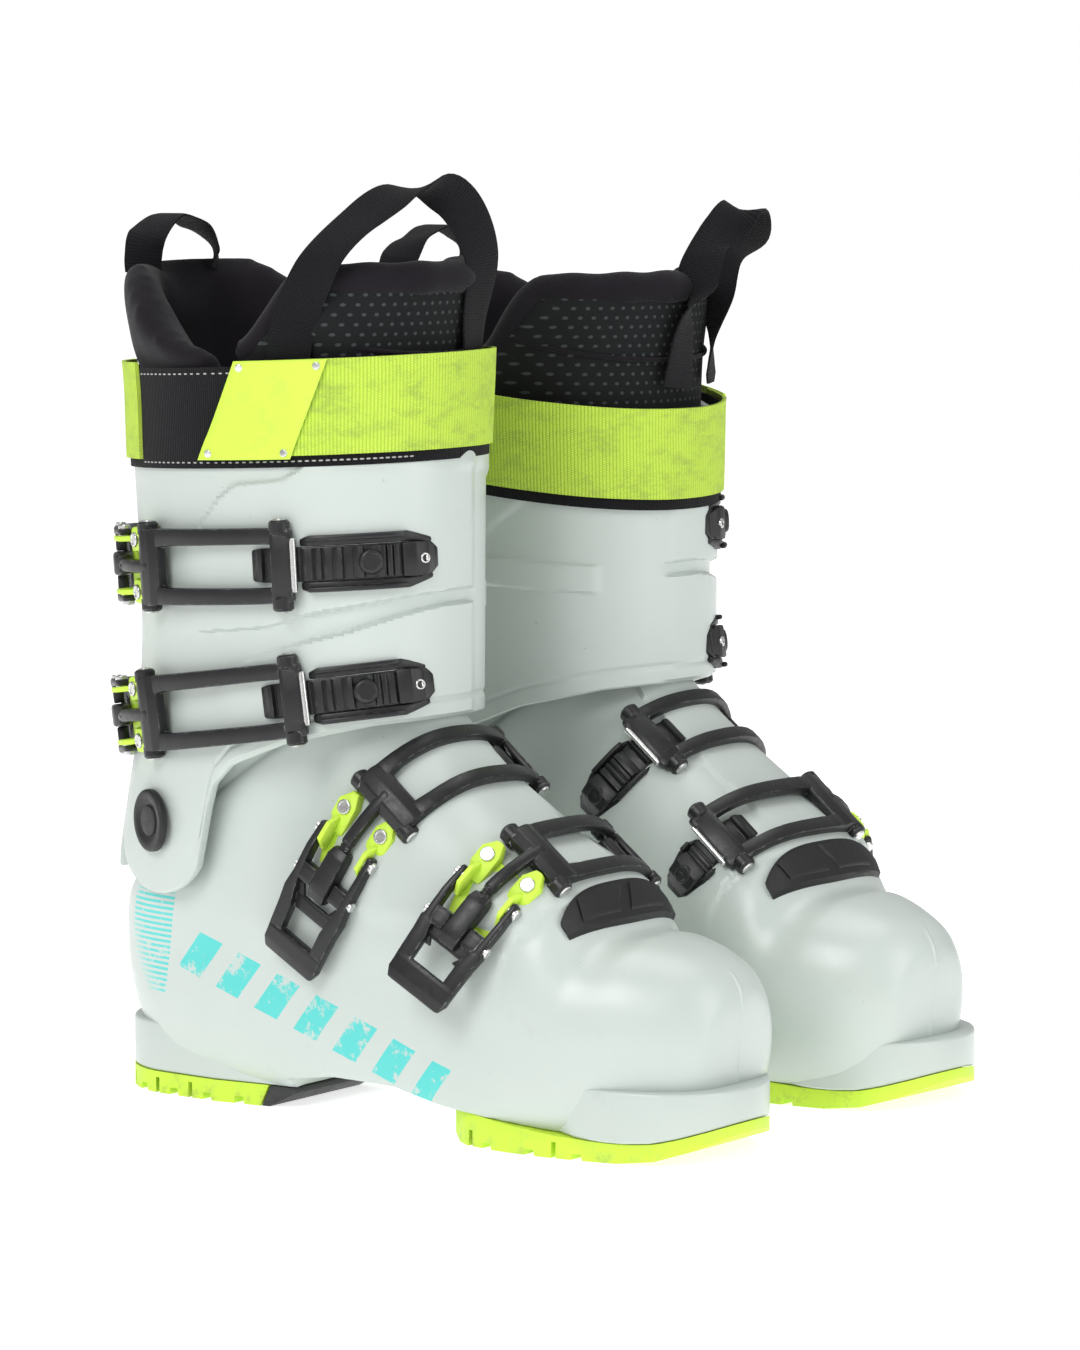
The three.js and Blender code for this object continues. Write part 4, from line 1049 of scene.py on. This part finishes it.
STRAP_WIDTH = 39
STRAP_HEIGHTS = {"right": (266, 275), "left": (261.4, 244.7)}
STRAP_LIFT = {"right": 0.5, "left": 1.9}
LEG_DEPTH = 160
STRAP_ROWS = 16
TAB_ROWS, TAB_COLUMNS = 16, 12


def strap_line(side, angles, rise):
    """Points on the leg that far above the strap's lower edge, and the same points 5 mm further out."""
    back, front = STRAP_HEIGHTS[side]
    place = place_on(SHAFT, angles, lambda x: back + (front - back) / LEG_DEPTH * x + rise, 4.5, 9.6)
    return skin_point(SHAFT, place, angles), skin_point(SHAFT, place, angles, -5.0)


def strap_grid(side, angles, low, high, lift, waves=0.0):
    """Points of the strap round the leg, from low to high above its lower edge."""
    across = np.linspace(low, high, STRAP_ROWS)
    rows = []
    for rise in across:
        ripple = waves * np.sin(angles * 7 + rise * 0.08) * np.sin(angles * 3.1 + 1)
        p, q = strap_line(side, angles, rise)
        out = (q - p) / np.linalg.norm(q - p, axis=-1, keepdims=True)
        rows.append(p + out * (lift + ripple)[:, None])
    return np.array(rows), across


def strap_band(side, start, end, low, high, lift, thick, closed, waves=0.0, count=260):
    """A band round the leg between two angles, with its own coordinates and its length."""
    angles = np.radians(np.linspace(start, end, count, endpoint=not closed))
    outer, across = strap_grid(side, angles, low, high, lift + thick, waves)
    inner, _ = strap_grid(side, angles, low, high, lift, waves)
    middle = outer[STRAP_ROWS // 2]
    along = np.concatenate([[0], np.cumsum(np.linalg.norm(np.diff(middle, axis=0), axis=1))])
    length = along[-1] + (np.linalg.norm(middle[0] - middle[-1]) if closed else 0)
    shape = (2 * STRAP_ROWS, count)
    run = np.stack([np.broadcast_to(along, shape),
                    np.broadcast_to(np.concatenate([across, across[::-1]])[:, None], shape),
                    np.broadcast_to(np.repeat([1.0, -1.0], STRAP_ROWS)[:, None], shape)], -1)
    verts, faces = tube(np.moveaxis(np.concatenate([outer, inner[::-1]]), 1, 0), closed)
    run = np.moveaxis(run, 1, 0).reshape(-1, 3)
    if not closed:
        run = np.vstack([run, run[0], run[-1]])
    return verts, faces, run, length


lime_webbing = webbing_material("lime webbing", (0.62, 0.86, 0.10), (0.34, 0.48, 0.05), 1.5, 0.5)
lime_plastic = rubber_material("lime plastic", (0.62, 0.90, 0.07), (0.25, 0.30, 0.09))


def metal_material(name):
    shade = Shader(name)
    place = shade.drawn()[0]
    shade.plain(Base_Color=(0.62, 0.62, 0.61, 1), Metallic=1)
    shade.drive("Roughness", shade.ramp(shade.noise(place, 0.9, 5, 0.7), 0.3, 0.8, 0.22, 0.42))
    shade.bump(shade.noise(place, 1.8, 4, 0.7), 0.1, 0.3)
    return shade.material


silver = metal_material("rivet steel")

for side in SIDES:
    rest = STRAP_LIFT[side]
    sleeve = strap_band(side, 0, 360, -4.0, STRAP_WIDTH - 2.0, rest, 1.0, True)
    backing = piece(f"{side} strap backing", side, [sleeve[:2]], black_webbing, "webbing", sleeve[2])
    start, end = (-79, 170) if side == "right" else (-58, 212)
    lime = strap_band(side, start, end, 0.8, STRAP_WIDTH + 0.3, rest + 1.1, 1.5, False, 0.35)
    strap = piece(f"{side} strap", side, [lime[:2]], lime_webbing, "strap", lime[2])
    fold = strap_band(side, -166, -123, -0.5, STRAP_WIDTH + 0.3, rest + 1.1, 1.6, False, 0.0, 24)
    hem = piece(f"{side} strap end", side, [fold[:2]], lime_webbing, "strap", fold[2])
    rows = []
    for rise, last in ((-1.6, -20), (STRAP_WIDTH - 4.5, -80)):
        turns = np.radians(np.arange(-121, last, 2.3) if side == "right" else np.arange(216, 300, 2.3))
        grid, _ = strap_grid(side, turns, rise, rise + 1, rest + 1.2)
        ahead = np.gradient(grid[0], axis=0)
        rows += stitches(grid[0], ahead, np.cross(ahead, grid[-1] - grid[0]), 1.8, 0.7)
    seams = piece(f"{side} strap stitches", side, rows, thread, "webbing")

    low_edge, high_edge = ((-93, -64), (-81, -52)) if side == "right" else ((-72, -52), (-66, -46))
    top, low = [], []
    for share in np.linspace(0, 1, TAB_ROWS):
        first, last = np.array(low_edge) * (1 - share) + np.array(high_edge) * share
        p, q = strap_line(side, np.radians(np.linspace(first, last, TAB_COLUMNS)),
                          -0.4 + (STRAP_WIDTH + 0.8) * share)
        top.append(p + (q - p) / 5 * (rest + 4.6))
        low.append(p + (q - p) / 5 * (rest + 3.1))
    top, low = np.array(top), np.array(low)
    tab = piece(f"{side} strap tab", side, [slab(top, low)], lime_plastic, "lime_plastic")
    studs = []
    for i, j in ((1, 1), (1, -2), (-2, 1), (-2, -2)):
        axis = np.cross(top[i, 0] - top[i, -1], top[0, j] - top[-1, j])
        axis *= np.sign(np.dot(axis, top[i, j] - low[i, j]))
        studs.append(lathe(top[i, j], axis, cap_profile(1.7, -0.6, 0.55, 0.5), 20))
    rivets = piece(f"{side} strap rivets", side, studs, silver, "buckle")
    for part in (backing, strap, hem, seams):
        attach(part, f"{side}_cuff_body")
        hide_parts(f"{side}_power_strap")
    for part in (tab, rivets):
        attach(part, f"{side}_cuff_body")
        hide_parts(f"{side}_strap_tab")

# ---------------------------------------------------------------- buckles
# Each boot has four cast buckles: a lime base riveted to the plastic, a black lever that turns on it, and a
# bail that a screwed rod joins to the lever. The bail's far bar drops between the teeth of a rack.
# Closing the lever draws the bail tight; the rod's thread and the teeth take up the length.

LINE_STEPS = 60


def girth(sections, places, through, normal, start, end):
    """The line a buckle lies on: where a plane cuts the skin."""
    angles = np.radians(start + (end - start) * np.arange(LINE_STEPS + 1) / LINE_STEPS)
    low = np.full(LINE_STEPS + 1, float(places[0]))
    high = np.full(LINE_STEPS + 1, float(places[1]))

    def over(place):
        return (skin_point(sections, place, angles) - through) @ normal

    first = np.sign(over(low))
    low, high = narrowed(low, high, 30, lambda place: np.sign(over(place)) == first)
    return skin_point(sections, low, angles)


class Line:
    """Measures along a buckle's line: s mm along it, w mm across it and h mm out from it."""

    def __init__(self, points, across, pivot):
        self.points = points
        self.across = across
        self.lengths = np.concatenate([[0], np.cumsum(np.linalg.norm(np.diff(points, axis=0), axis=1))])
        self.start = self.lengths[pivot]
        self.tangent = np.gradient(points, self.lengths, axis=0)

    def __call__(self, s, w, h):
        s, w, h = np.broadcast_arrays(np.asarray(s, float), np.asarray(w, float), np.asarray(h, float))
        want = np.clip(s + self.start, 0, self.lengths[-1])
        origin = np.stack([np.interp(want, self.lengths, self.points[:, k]) for k in range(3)], -1)
        along = np.stack([np.interp(want, self.lengths, self.tangent[:, k]) for k in range(3)], -1)
        along /= np.linalg.norm(along, axis=-1, keepdims=True)
        origin = origin + along * (s + self.start - want)[..., None]
        out = np.cross(self.across, along)
        out /= np.linalg.norm(out, axis=-1, keepdims=True)
        return origin + self.across * w[..., None] + out * h[..., None]


def turned(line, turn, curve):
    """A local place at the lever's pivot, turned about the outward direction and gently curved."""
    origin = line(0, 0, 0)
    along = line(4, 0, 0) - line(-4, 0, 0)
    along /= np.linalg.norm(along)
    across = line(0, 1, 0) - origin
    across /= np.linalg.norm(across)
    out = np.cross(across, along)
    c, s = math.cos(turn), math.sin(turn)
    new_along = along * c + np.cross(out, along) * s
    new_across = across * c + np.cross(out, across) * s

    def at(a, w, h):
        a, w, h = np.broadcast_arrays(np.asarray(a, float), np.asarray(w, float), np.asarray(h, float))
        angle = a / curve
        radius = curve + h
        return (origin + new_along * (radius * np.sin(angle))[..., None] + new_across * w[..., None]
                + out * (radius * np.cos(angle) - curve)[..., None])
    return at


def corner_ring(w_from, w_to, h_from, h_to, radius):
    """A rectangle across a bar with rounded corners, at least a tenth of a millimetre wide and high."""
    wa, wb = (w_from, w_to) if w_to - w_from > 0.1 else ((w_from + w_to) / 2 - 0.05, (w_from + w_to) / 2 + 0.05)
    ha, hb = (h_from, h_to) if h_to - h_from > 0.1 else ((h_from + h_to) / 2 - 0.05, (h_from + h_to) / 2 + 0.05)
    r = min(radius, (wb - wa) / 2, (hb - ha) / 2)
    ring = []
    corners = ((wb - r, hb - r), (wa + r, hb - r), (wa + r, ha + r), (wb - r, ha + r))
    for (w, h), start in zip(corners, (0, 90, 180, 270)):
        for turn in np.radians([start, start + 45, start + 90]):
            ring.append((w + r * math.cos(turn), h + r * math.sin(turn)))
    return np.array(ring)


def rail(at, stations, round_=0.8, dense=14):
    """A bar with rounded corners and ends; each station gives s, w from, w to, h from, h to."""
    st = np.array(stations, float)
    lengths = [np.linspace(a, b, dense, endpoint=False) for a, b in zip(st[:-1, 0], st[1:, 0])]
    s_all = np.concatenate(lengths + [st[-1:, 0]])
    grid = np.column_stack([s_all] + [np.interp(s_all, st[:, 0], st[:, k]) for k in range(1, 5)])
    first, last = grid[0], grid[-1]
    small = round_ * 0.3
    rows = [(first, round_, -round_), (first, small, small - round_), *((row, 0.0, 0.0) for row in grid),
            (last, small, round_ - small), (last, round_, round_)]
    rings = []
    for (s, w_from, w_to, h_from, h_to), inset, move in rows:
        r = min(round_, (w_to - w_from) / 2.01, (h_to - h_from) / 2.01)
        ring = corner_ring(w_from + inset, w_to - inset, h_from + inset, h_to - inset, r)
        rings.append(at(s + move, ring[:, 0], ring[:, 1]))
    return tube(np.array(rings))


def rails(at, stations, round_=0.8, dense=14):
    """The same bar on both sides of the middle line."""
    other = [(s, -b, -a, low, high) for s, a, b, low, high in stations]
    return [rail(at, stations, round_, dense), rail(at, other, round_, dense)]


def stud(at, s, w, h0, h1, radius, dish=0.35, edge=0.5):
    base = at(s, w, h0)
    axis = at(s, w, h0 + 1) - base
    return lathe(base, axis, cap_profile(radius, 0, h1 - h0, edge, dish), 28)


def cross_pin(at, s, h, w0, w1, radius, edge=0.5):
    base = at(s, w0, h)
    axis = at(s, w0 + 1, h) - base
    length = w1 - w0
    profile = [(radius - edge, 0), (radius, edge), (radius, length - edge), (radius - edge, length)]
    return lathe(base, axis, profile, 24)


def pins(at, s, h, w0, w1, radius, edge=0.5):
    """The same pin on both sides of the middle line."""
    return [cross_pin(at, s, h, w0, w1, radius, edge), cross_pin(at, s, h, -w1, -w0, radius, edge)]


# For each buckle: the skin it lies on and between which rings, a point and the normal of the plane that
# cuts its line, the angles that line spans, and the lever's pivot. Then, in millimetres, the lever's curve,
# the distances from the pivot to the bail's far bar and to the rack's end, and the lever's length, with the
# turn of the lever off the line in radians and the number of teeth.
BUCKLES = {
    "toe": {"on": SHELL, "places": (3.5, 12), "through": (222, 0, 112.6), "normal": (0.79, 0, -0.61),
            "angles": (-150, 80), "pivot": (218, -49, 104), "curve": 160, "turn": 0.15, "reach": 90,
            "rack": 114, "lever": 47, "teeth": 5},
    "instep": {"on": SHELL, "places": (6, 15), "through": (160, -42, 134), "normal": (0.79, -0.04, -0.61),
               "angles": (-150, 85), "pivot": (146, -49, 115), "curve": 200, "turn": 0.15, "reach": 98,
               "rack": 134, "lever": 54, "teeth": 6},
    "lower_cuff": {"on": CUFF, "places": (1, 6.5), "through": (34, 0, 161.5), "normal": (0.15, 0, -1),
                   "angles": (-200, 30), "pivot": (33, -40, 161), "curve": 66, "turn": 0, "reach": 100,
                   "rack": 152, "lever": 44, "teeth": 7},
    "upper_cuff": {"on": CUFF, "places": (1, 6.9), "through": (62, 0, 225.5), "normal": (0.065, 0, -1),
                   "angles": (-200, 30), "pivot": (33, -40, 224), "curve": 66, "turn": 0, "reach": 94,
                   "rack": 152, "lever": 44, "teeth": 7},
}

buckle_black = coated_material("buckle coating", BLACK, 1.0, 0.28)
rack_black = coated_material("rack coating", BLACK, 0.35, 0.3, (0.3, 0.3, 0.3))


def base_parts(at):
    """The base plate, the two ears that hold the lever, and the two lobes with the rivets."""
    plate = rail(at, [(-13, -11, 11, -0.6, 2.6), (-9, -12, 12, -0.6, 3), (9, -12, 12, -0.6, 3),
                      (12.5, -10, 10, -0.6, 2.6)], 0.9)
    ears = rails(at, [(-7, 9.9, 12.1, 2, 6), (-3.5, 9.9, 12.1, 2, 11), (4, 9.9, 12.1, 2, 11),
                      (9, 9.9, 12.1, 2, 5)], 0.7, 6)
    lobes = rails(at, [(2, 6, 13.5, -0.6, 4.6), (7, 5.4, 15.8, -0.6, 6.0), (14, 5.8, 15.8, -0.6, 6.6),
                       (18, 8, 13, -0.6, 6.0)], 1.4, 6)
    return [plate, *ears, *lobes]


def lever_parts(at, length):
    """Two stepped arms with lugs and steps between them, a finger bar at the far end and a web behind it."""
    end = -length
    arms = rails(at, [(end + 5, 8.4, 15.0, 5.0, 9.2), (end + 20, 8.8, 15.6, 4.6, 9.4),
                      (end + 27, 10.6, 16.4, 4.6, 9.6), (-20, 11.6, 15.4, 4.6, 9.8),
                      (-8, 12.4, 15.6, 4.4, 10.2), (2.6, 12.4, 15.0, 4.2, 10.0)], 0.9, 7)
    lugs = rails(at, [(-21, 5.0, 13, 4.9, 9.6), (-15, 5.0, 13, 4.9, 9.6)], 0.8, 4)
    steps = rails(at, [(-29, 6, 14, 4.8, 6.6), (-24, 9, 14, 4.8, 6.6)], 0.5, 4)
    finger = rail(at, [(end, -13.6, 13.6, 5.2, 9.0), (end + 3, -15, 15, 4.9, 9.4),
                       (end + 9, -15, 15, 4.9, 9.4)], 1.0, 6)
    web = rail(at, [(end + 21, -13, 13, 4.8, 6.8), (end + 26, -13, 13, 4.8, 6.8)], 0.6, 4)
    return [*arms, *lugs, *steps, finger, web]


def lever_metal(at):
    return pins(at, 0, 7, 11, 16.6, 2.6) + pins(at, -18, 7.2, 13, 16.8, 2.2)


def neck_parts(at, line, turn):
    """The swivel block in the lever, the threaded rod, its socket on the bail, and the rod's thread."""
    lean = lambda s: -math.tan(turn) * (3 + (s - 3) * 0.45)
    block = rail(at, [(-24, -4.3, 4.3, 4.2, 9.8), (-21, -4.6, 4.6, 3.8, 11), (-5, -4.6, 4.6, 3.8, 11),
                      (-2.5, -4.2, 4.2, 4.4, 10)], 1.2, 4)
    rod = lathe(at(-14, 0, 7.4), at(3, 0, 7.4) - at(-14, 0, 7.4), [(2.3, 0), (2.3, 19)], 20)
    socket = rail(line, [(s, lean(s) - 2.8, lean(s) + 2.8, 5.2, 9.8) for s in (2, 9, 16, 25)], 1.6, 5)
    thread_turns = []
    for k in range(5):
        spot = at(-2.5 + 1.2 * k, 0, 7.4)
        ahead = at(-1.5 + 1.2 * k, 0, 7.4) - spot
        thread_turns.append(lathe(spot, ahead, [(2.25, 0), (2.6, 0.35), (2.25, 0.7)], 20))
    return [block, rod, socket, *thread_turns]


def bail_parts(line, reach):
    """A frame of two side bars with a bar at each end, and round bosses where the pins go through."""
    near = rail(line, [(19.5, -13, 13, 3.6, 8.8), (22, -15.4, 15.4, 3.4, 9.8), (27, -15.6, 15.6, 3.4, 9.4),
                       (30, -15.4, 15.4, 3.5, 8.0)], 1.1, 6)
    sides = rails(line, [(27, 7.4, 15.6, 3.5, 8.2), (36, 8.6, 15.6, 3.5, 7.8),
                         (reach - 12, 8.8, 15.4, 3.5, 7.6), (reach - 5, 8.6, 15.2, 3.5, 8.4),
                         (reach + 0.6, 8.6, 14.6, 3.8, 8.2)], 1.0, 12)
    shoulders = rails(line, [(19, 11, 15.4, 2.2, 6), (24, 11, 15.4, 2.2, 6)], 1.2, 4)
    bosses = [boss for s in (21.5, reach - 3.5) for boss in pins(line, s, 5.4, 12.5, 18.4, 4.3, 0.9)]
    far = rail(line, [(reach - 6, -13, 13, 5.6, 8.6), (reach + 0.2, -13, 13, 5.4, 8.2)], 0.9, 6)
    return [near, *sides, *shoulders, *bosses, far]


def bail_metal(line, reach):
    heads = [head for s in (21.5, reach - 3.5) for head in pins(line, s, 5.4, 17.5, 19, 2.9)]
    return [*heads, cross_pin(line, reach + 1.6, 6.4, -11, 11, 1.5, 0.4)]


def rack_parts(line, reach, end, teeth, tall):
    """A toothed strip between two ribbed rails, with a stop block at its far end and a round screw boss."""
    strip = rail(line, [(reach - 17, -6.4, 6.4, -0.4, 2.6), (reach - 13, -7, 7, -0.6, 3),
                        (end - 12, -7, 7, -0.6, 3), (end - 2, -6.6, 6.6, -0.6, 3),
                        (end + 1, -4.4, 4.4, -0.6, 2.2)], 0.8, 10)
    parts = [strip]
    for k in range(teeth):
        s = reach - 14 + 8 * k
        under_bail = abs(s + 1 - (reach - 2)) <= 2.4
        if s + 4 <= end - 12 and not under_bail:
            parts.append(rail(line, [(s - 1.6, -6.4, 6.4, 2.4, 3.2), (s + 0.4, -6.4, 6.4, 2.4, 4.6),
                                     (s + 2, -6.4, 6.4, 2.4, 4.9), (s + 2.8, -6.2, 6.2, 2.4, 3.4)], 0.45, 4))
    wide = 10.5 if tall else 8.5
    start = reach + 4
    parts += rails(line, [(start, 7.2, wide, -0.4, 2.6), (start + 3, 7.2, wide + 1, -0.4, 3.4),
                          (end - 12, 7.2, wide + 1, -0.4, 3.4), (end - 2, 6, wide - 2, -0.4, 2.6)], 0.8, 8)
    parts += rails(line, [(start + 3, wide - 1.2, wide + 0.8, 3, 5.4),
                          (end - 14, wide - 1.2, wide + 0.8, 3, 5.4)], 0.7, 8)
    parts.append(rail(line, [(end - 14, -7, 7, 2, 4.6), (end - 10, -7, 7, 2, 6.2), (end - 5, -6.6, 6.6, 2, 5.6),
                             (end - 1.5, -5, 5, 2, 3.4)], 0.9, 6))
    for s in (end - 23, end - 20.4, end - 17.8):
        parts.append(rail(line, [(s, -6.4, 6.4, 2.6, 4.6), (s + 1.2, -6.4, 6.4, 2.6, 4.6)], 0.4, 3))
    boss_place, boss_radius = (end - 27, 5.2) if tall else (end - 8, 4.2)
    parts.append(stud(line, boss_place, 0, 2.6, 6.6, boss_radius, 0.4, 1.6))
    return parts


for side in SIDES:
    for name, spec in BUCKLES.items():
        normal = np.array(spec["normal"], float)
        normal /= np.linalg.norm(normal)
        points = girth(spec["on"], spec["places"], np.array(spec["through"], float), normal, *spec["angles"])
        pivot = int(np.argmin(np.linalg.norm(points - np.array(spec["pivot"], float), axis=1)))
        line = Line(points, normal, pivot)
        at = turned(line, spec["turn"], spec["curve"])
        reach, end = spec["reach"], spec["rack"]
        on_cuff = "cuff" in name
        carrier = f"{side}_cuff_body" if on_cuff else f"{side}_shell_body"
        node = f"{side}_{name}"
        rivets = [stud(at, 12, across, 5.8, 7.7, 3.1) for across in (10.8, -10.8)]
        rack = rack_parts(line, reach, end, spec["teeth"], on_cuff)
        screw = [stud(line, end - 6.5, 0, 4.4, 6.4, 2.2, 0.7)]
        bail = neck_parts(at, line, spec["turn"]) + bail_parts(line, reach)
        lever_body, bail_body = f"{node}_lever_body", f"{node}_bail_body"
        for word, parts, material, slot, body, suffix in (
                ("base", base_parts(at), lime_plastic, "lime_plastic", carrier, "buckle_base"),
                ("base rivets", rivets, silver, "buckle", carrier, "buckle_base"),
                ("rack", rack, rack_black, "buckle", carrier, "rack"),
                ("rack screw", screw, silver if on_cuff else rack_black, "buckle", carrier, "rack"),
                ("lever", lever_parts(at, spec["lever"]), buckle_black, "buckle", lever_body, "lever"),
                ("lever pins", lever_metal(at), silver, "buckle", lever_body, "lever"),
                ("bail", bail, buckle_black, "buckle", bail_body, "bail"),
                ("bail pins", bail_metal(line, reach), silver, "buckle", bail_body, "bail")):
            obj = piece(f"{side} {name.replace('_', ' ')} {word}", side, parts, material, slot)
            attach(obj, body)
            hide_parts(f"{node}_{suffix}")

# ---------------------------------------------------------------- stage, lights and camera
# A plain white floor under a white surround, three large soft lights, and a long lens at about shin height.

floor_shade = Shader("floor")
floor_shade.plain(Base_Color=(0.9, 0.9, 0.9, 1), Roughness=0.9, Specular_IOR_Level=0.0)
floor_shade.plain(Emission_Color=(1, 1, 1, 1), Emission_Strength=0.7)
mesh = bpy.data.meshes.new("floor")
mesh.from_pydata([(-6, -6, 0), (6, -6, 0), (6, 6, 0), (-6, 6, 0)], [], [(0, 1, 2, 3)])
mesh.materials.append(floor_shade.material)
floor = bpy.data.objects.new("floor", mesh)
bpy.context.scene.collection.objects.link(floor)

world = bpy.data.worlds.new("studio")
bpy.context.scene.world = world
world.use_nodes = True
tree = world.node_tree
seen = tree.nodes["Background"]
seen.inputs["Color"].default_value = (1, 1, 1, 1)
seen.inputs["Strength"].default_value = 1.0
around = tree.nodes.new("ShaderNodeBackground")
around.inputs["Color"].default_value = (1, 1, 1, 1)
around.inputs["Strength"].default_value = 0.42
choose = tree.nodes.new("ShaderNodeMixShader")
tree.links.new(tree.nodes.new("ShaderNodeLightPath").outputs["Is Camera Ray"], choose.inputs[0])
tree.links.new(around.outputs[0], choose.inputs[1])
tree.links.new(seen.outputs[0], choose.inputs[2])
tree.links.new(choose.outputs[0], tree.nodes["World Output"].inputs["Surface"])
bpy.context.scene.view_settings.view_transform = "Standard"


def area_light(name, place, target, size, power):
    light = bpy.data.lights.new(name, "AREA")
    light.shape = "RECTANGLE"
    light.size, light.size_y = size
    light.energy = power
    obj = bpy.data.objects.new(name, light)
    obj.location = place
    obj.rotation_euler = (Vector(target) - Vector(place)).to_track_quat("-Z", "Y").to_euler()
    bpy.context.scene.collection.objects.link(obj)


area_light("key", (0.2, -1.8, 1.5), (0, 0, 0.2), (1.0, 1.0), 24)
area_light("fill", (1.9, 0.2, 0.9), (0, 0, 0.15), (0.8, 1.4), 12)
area_light("top", (-0.2, 0.2, 2.2), (0, 0, 0.1), (1.4, 1.4), 16)

AZIMUTH, ELEVATION = math.radians(39), math.radians(6.5)
CAMERA_DISTANCE = 2.4
LONG_LENS = 153
target = np.array([0.150 - LENGTH_CENTRE / 1000, 0, 0.185])
away = np.array([math.sin(AZIMUTH) * math.cos(ELEVATION), -math.cos(AZIMUTH) * math.cos(ELEVATION),
                 math.sin(ELEVATION)])
lens = bpy.data.cameras.new("camera")
lens.sensor_width = 36
lens.lens = LONG_LENS
lens.shift_x = -0.0059
lens.shift_y = -0.0185
lens.clip_end = 30
camera = bpy.data.objects.new("camera", lens)
camera.location = target + away * CAMERA_DISTANCE
camera.rotation_euler = Vector(-away).to_track_quat("-Z", "Y").to_euler()
bpy.context.scene.collection.objects.link(camera)
bpy.context.scene.camera = camera
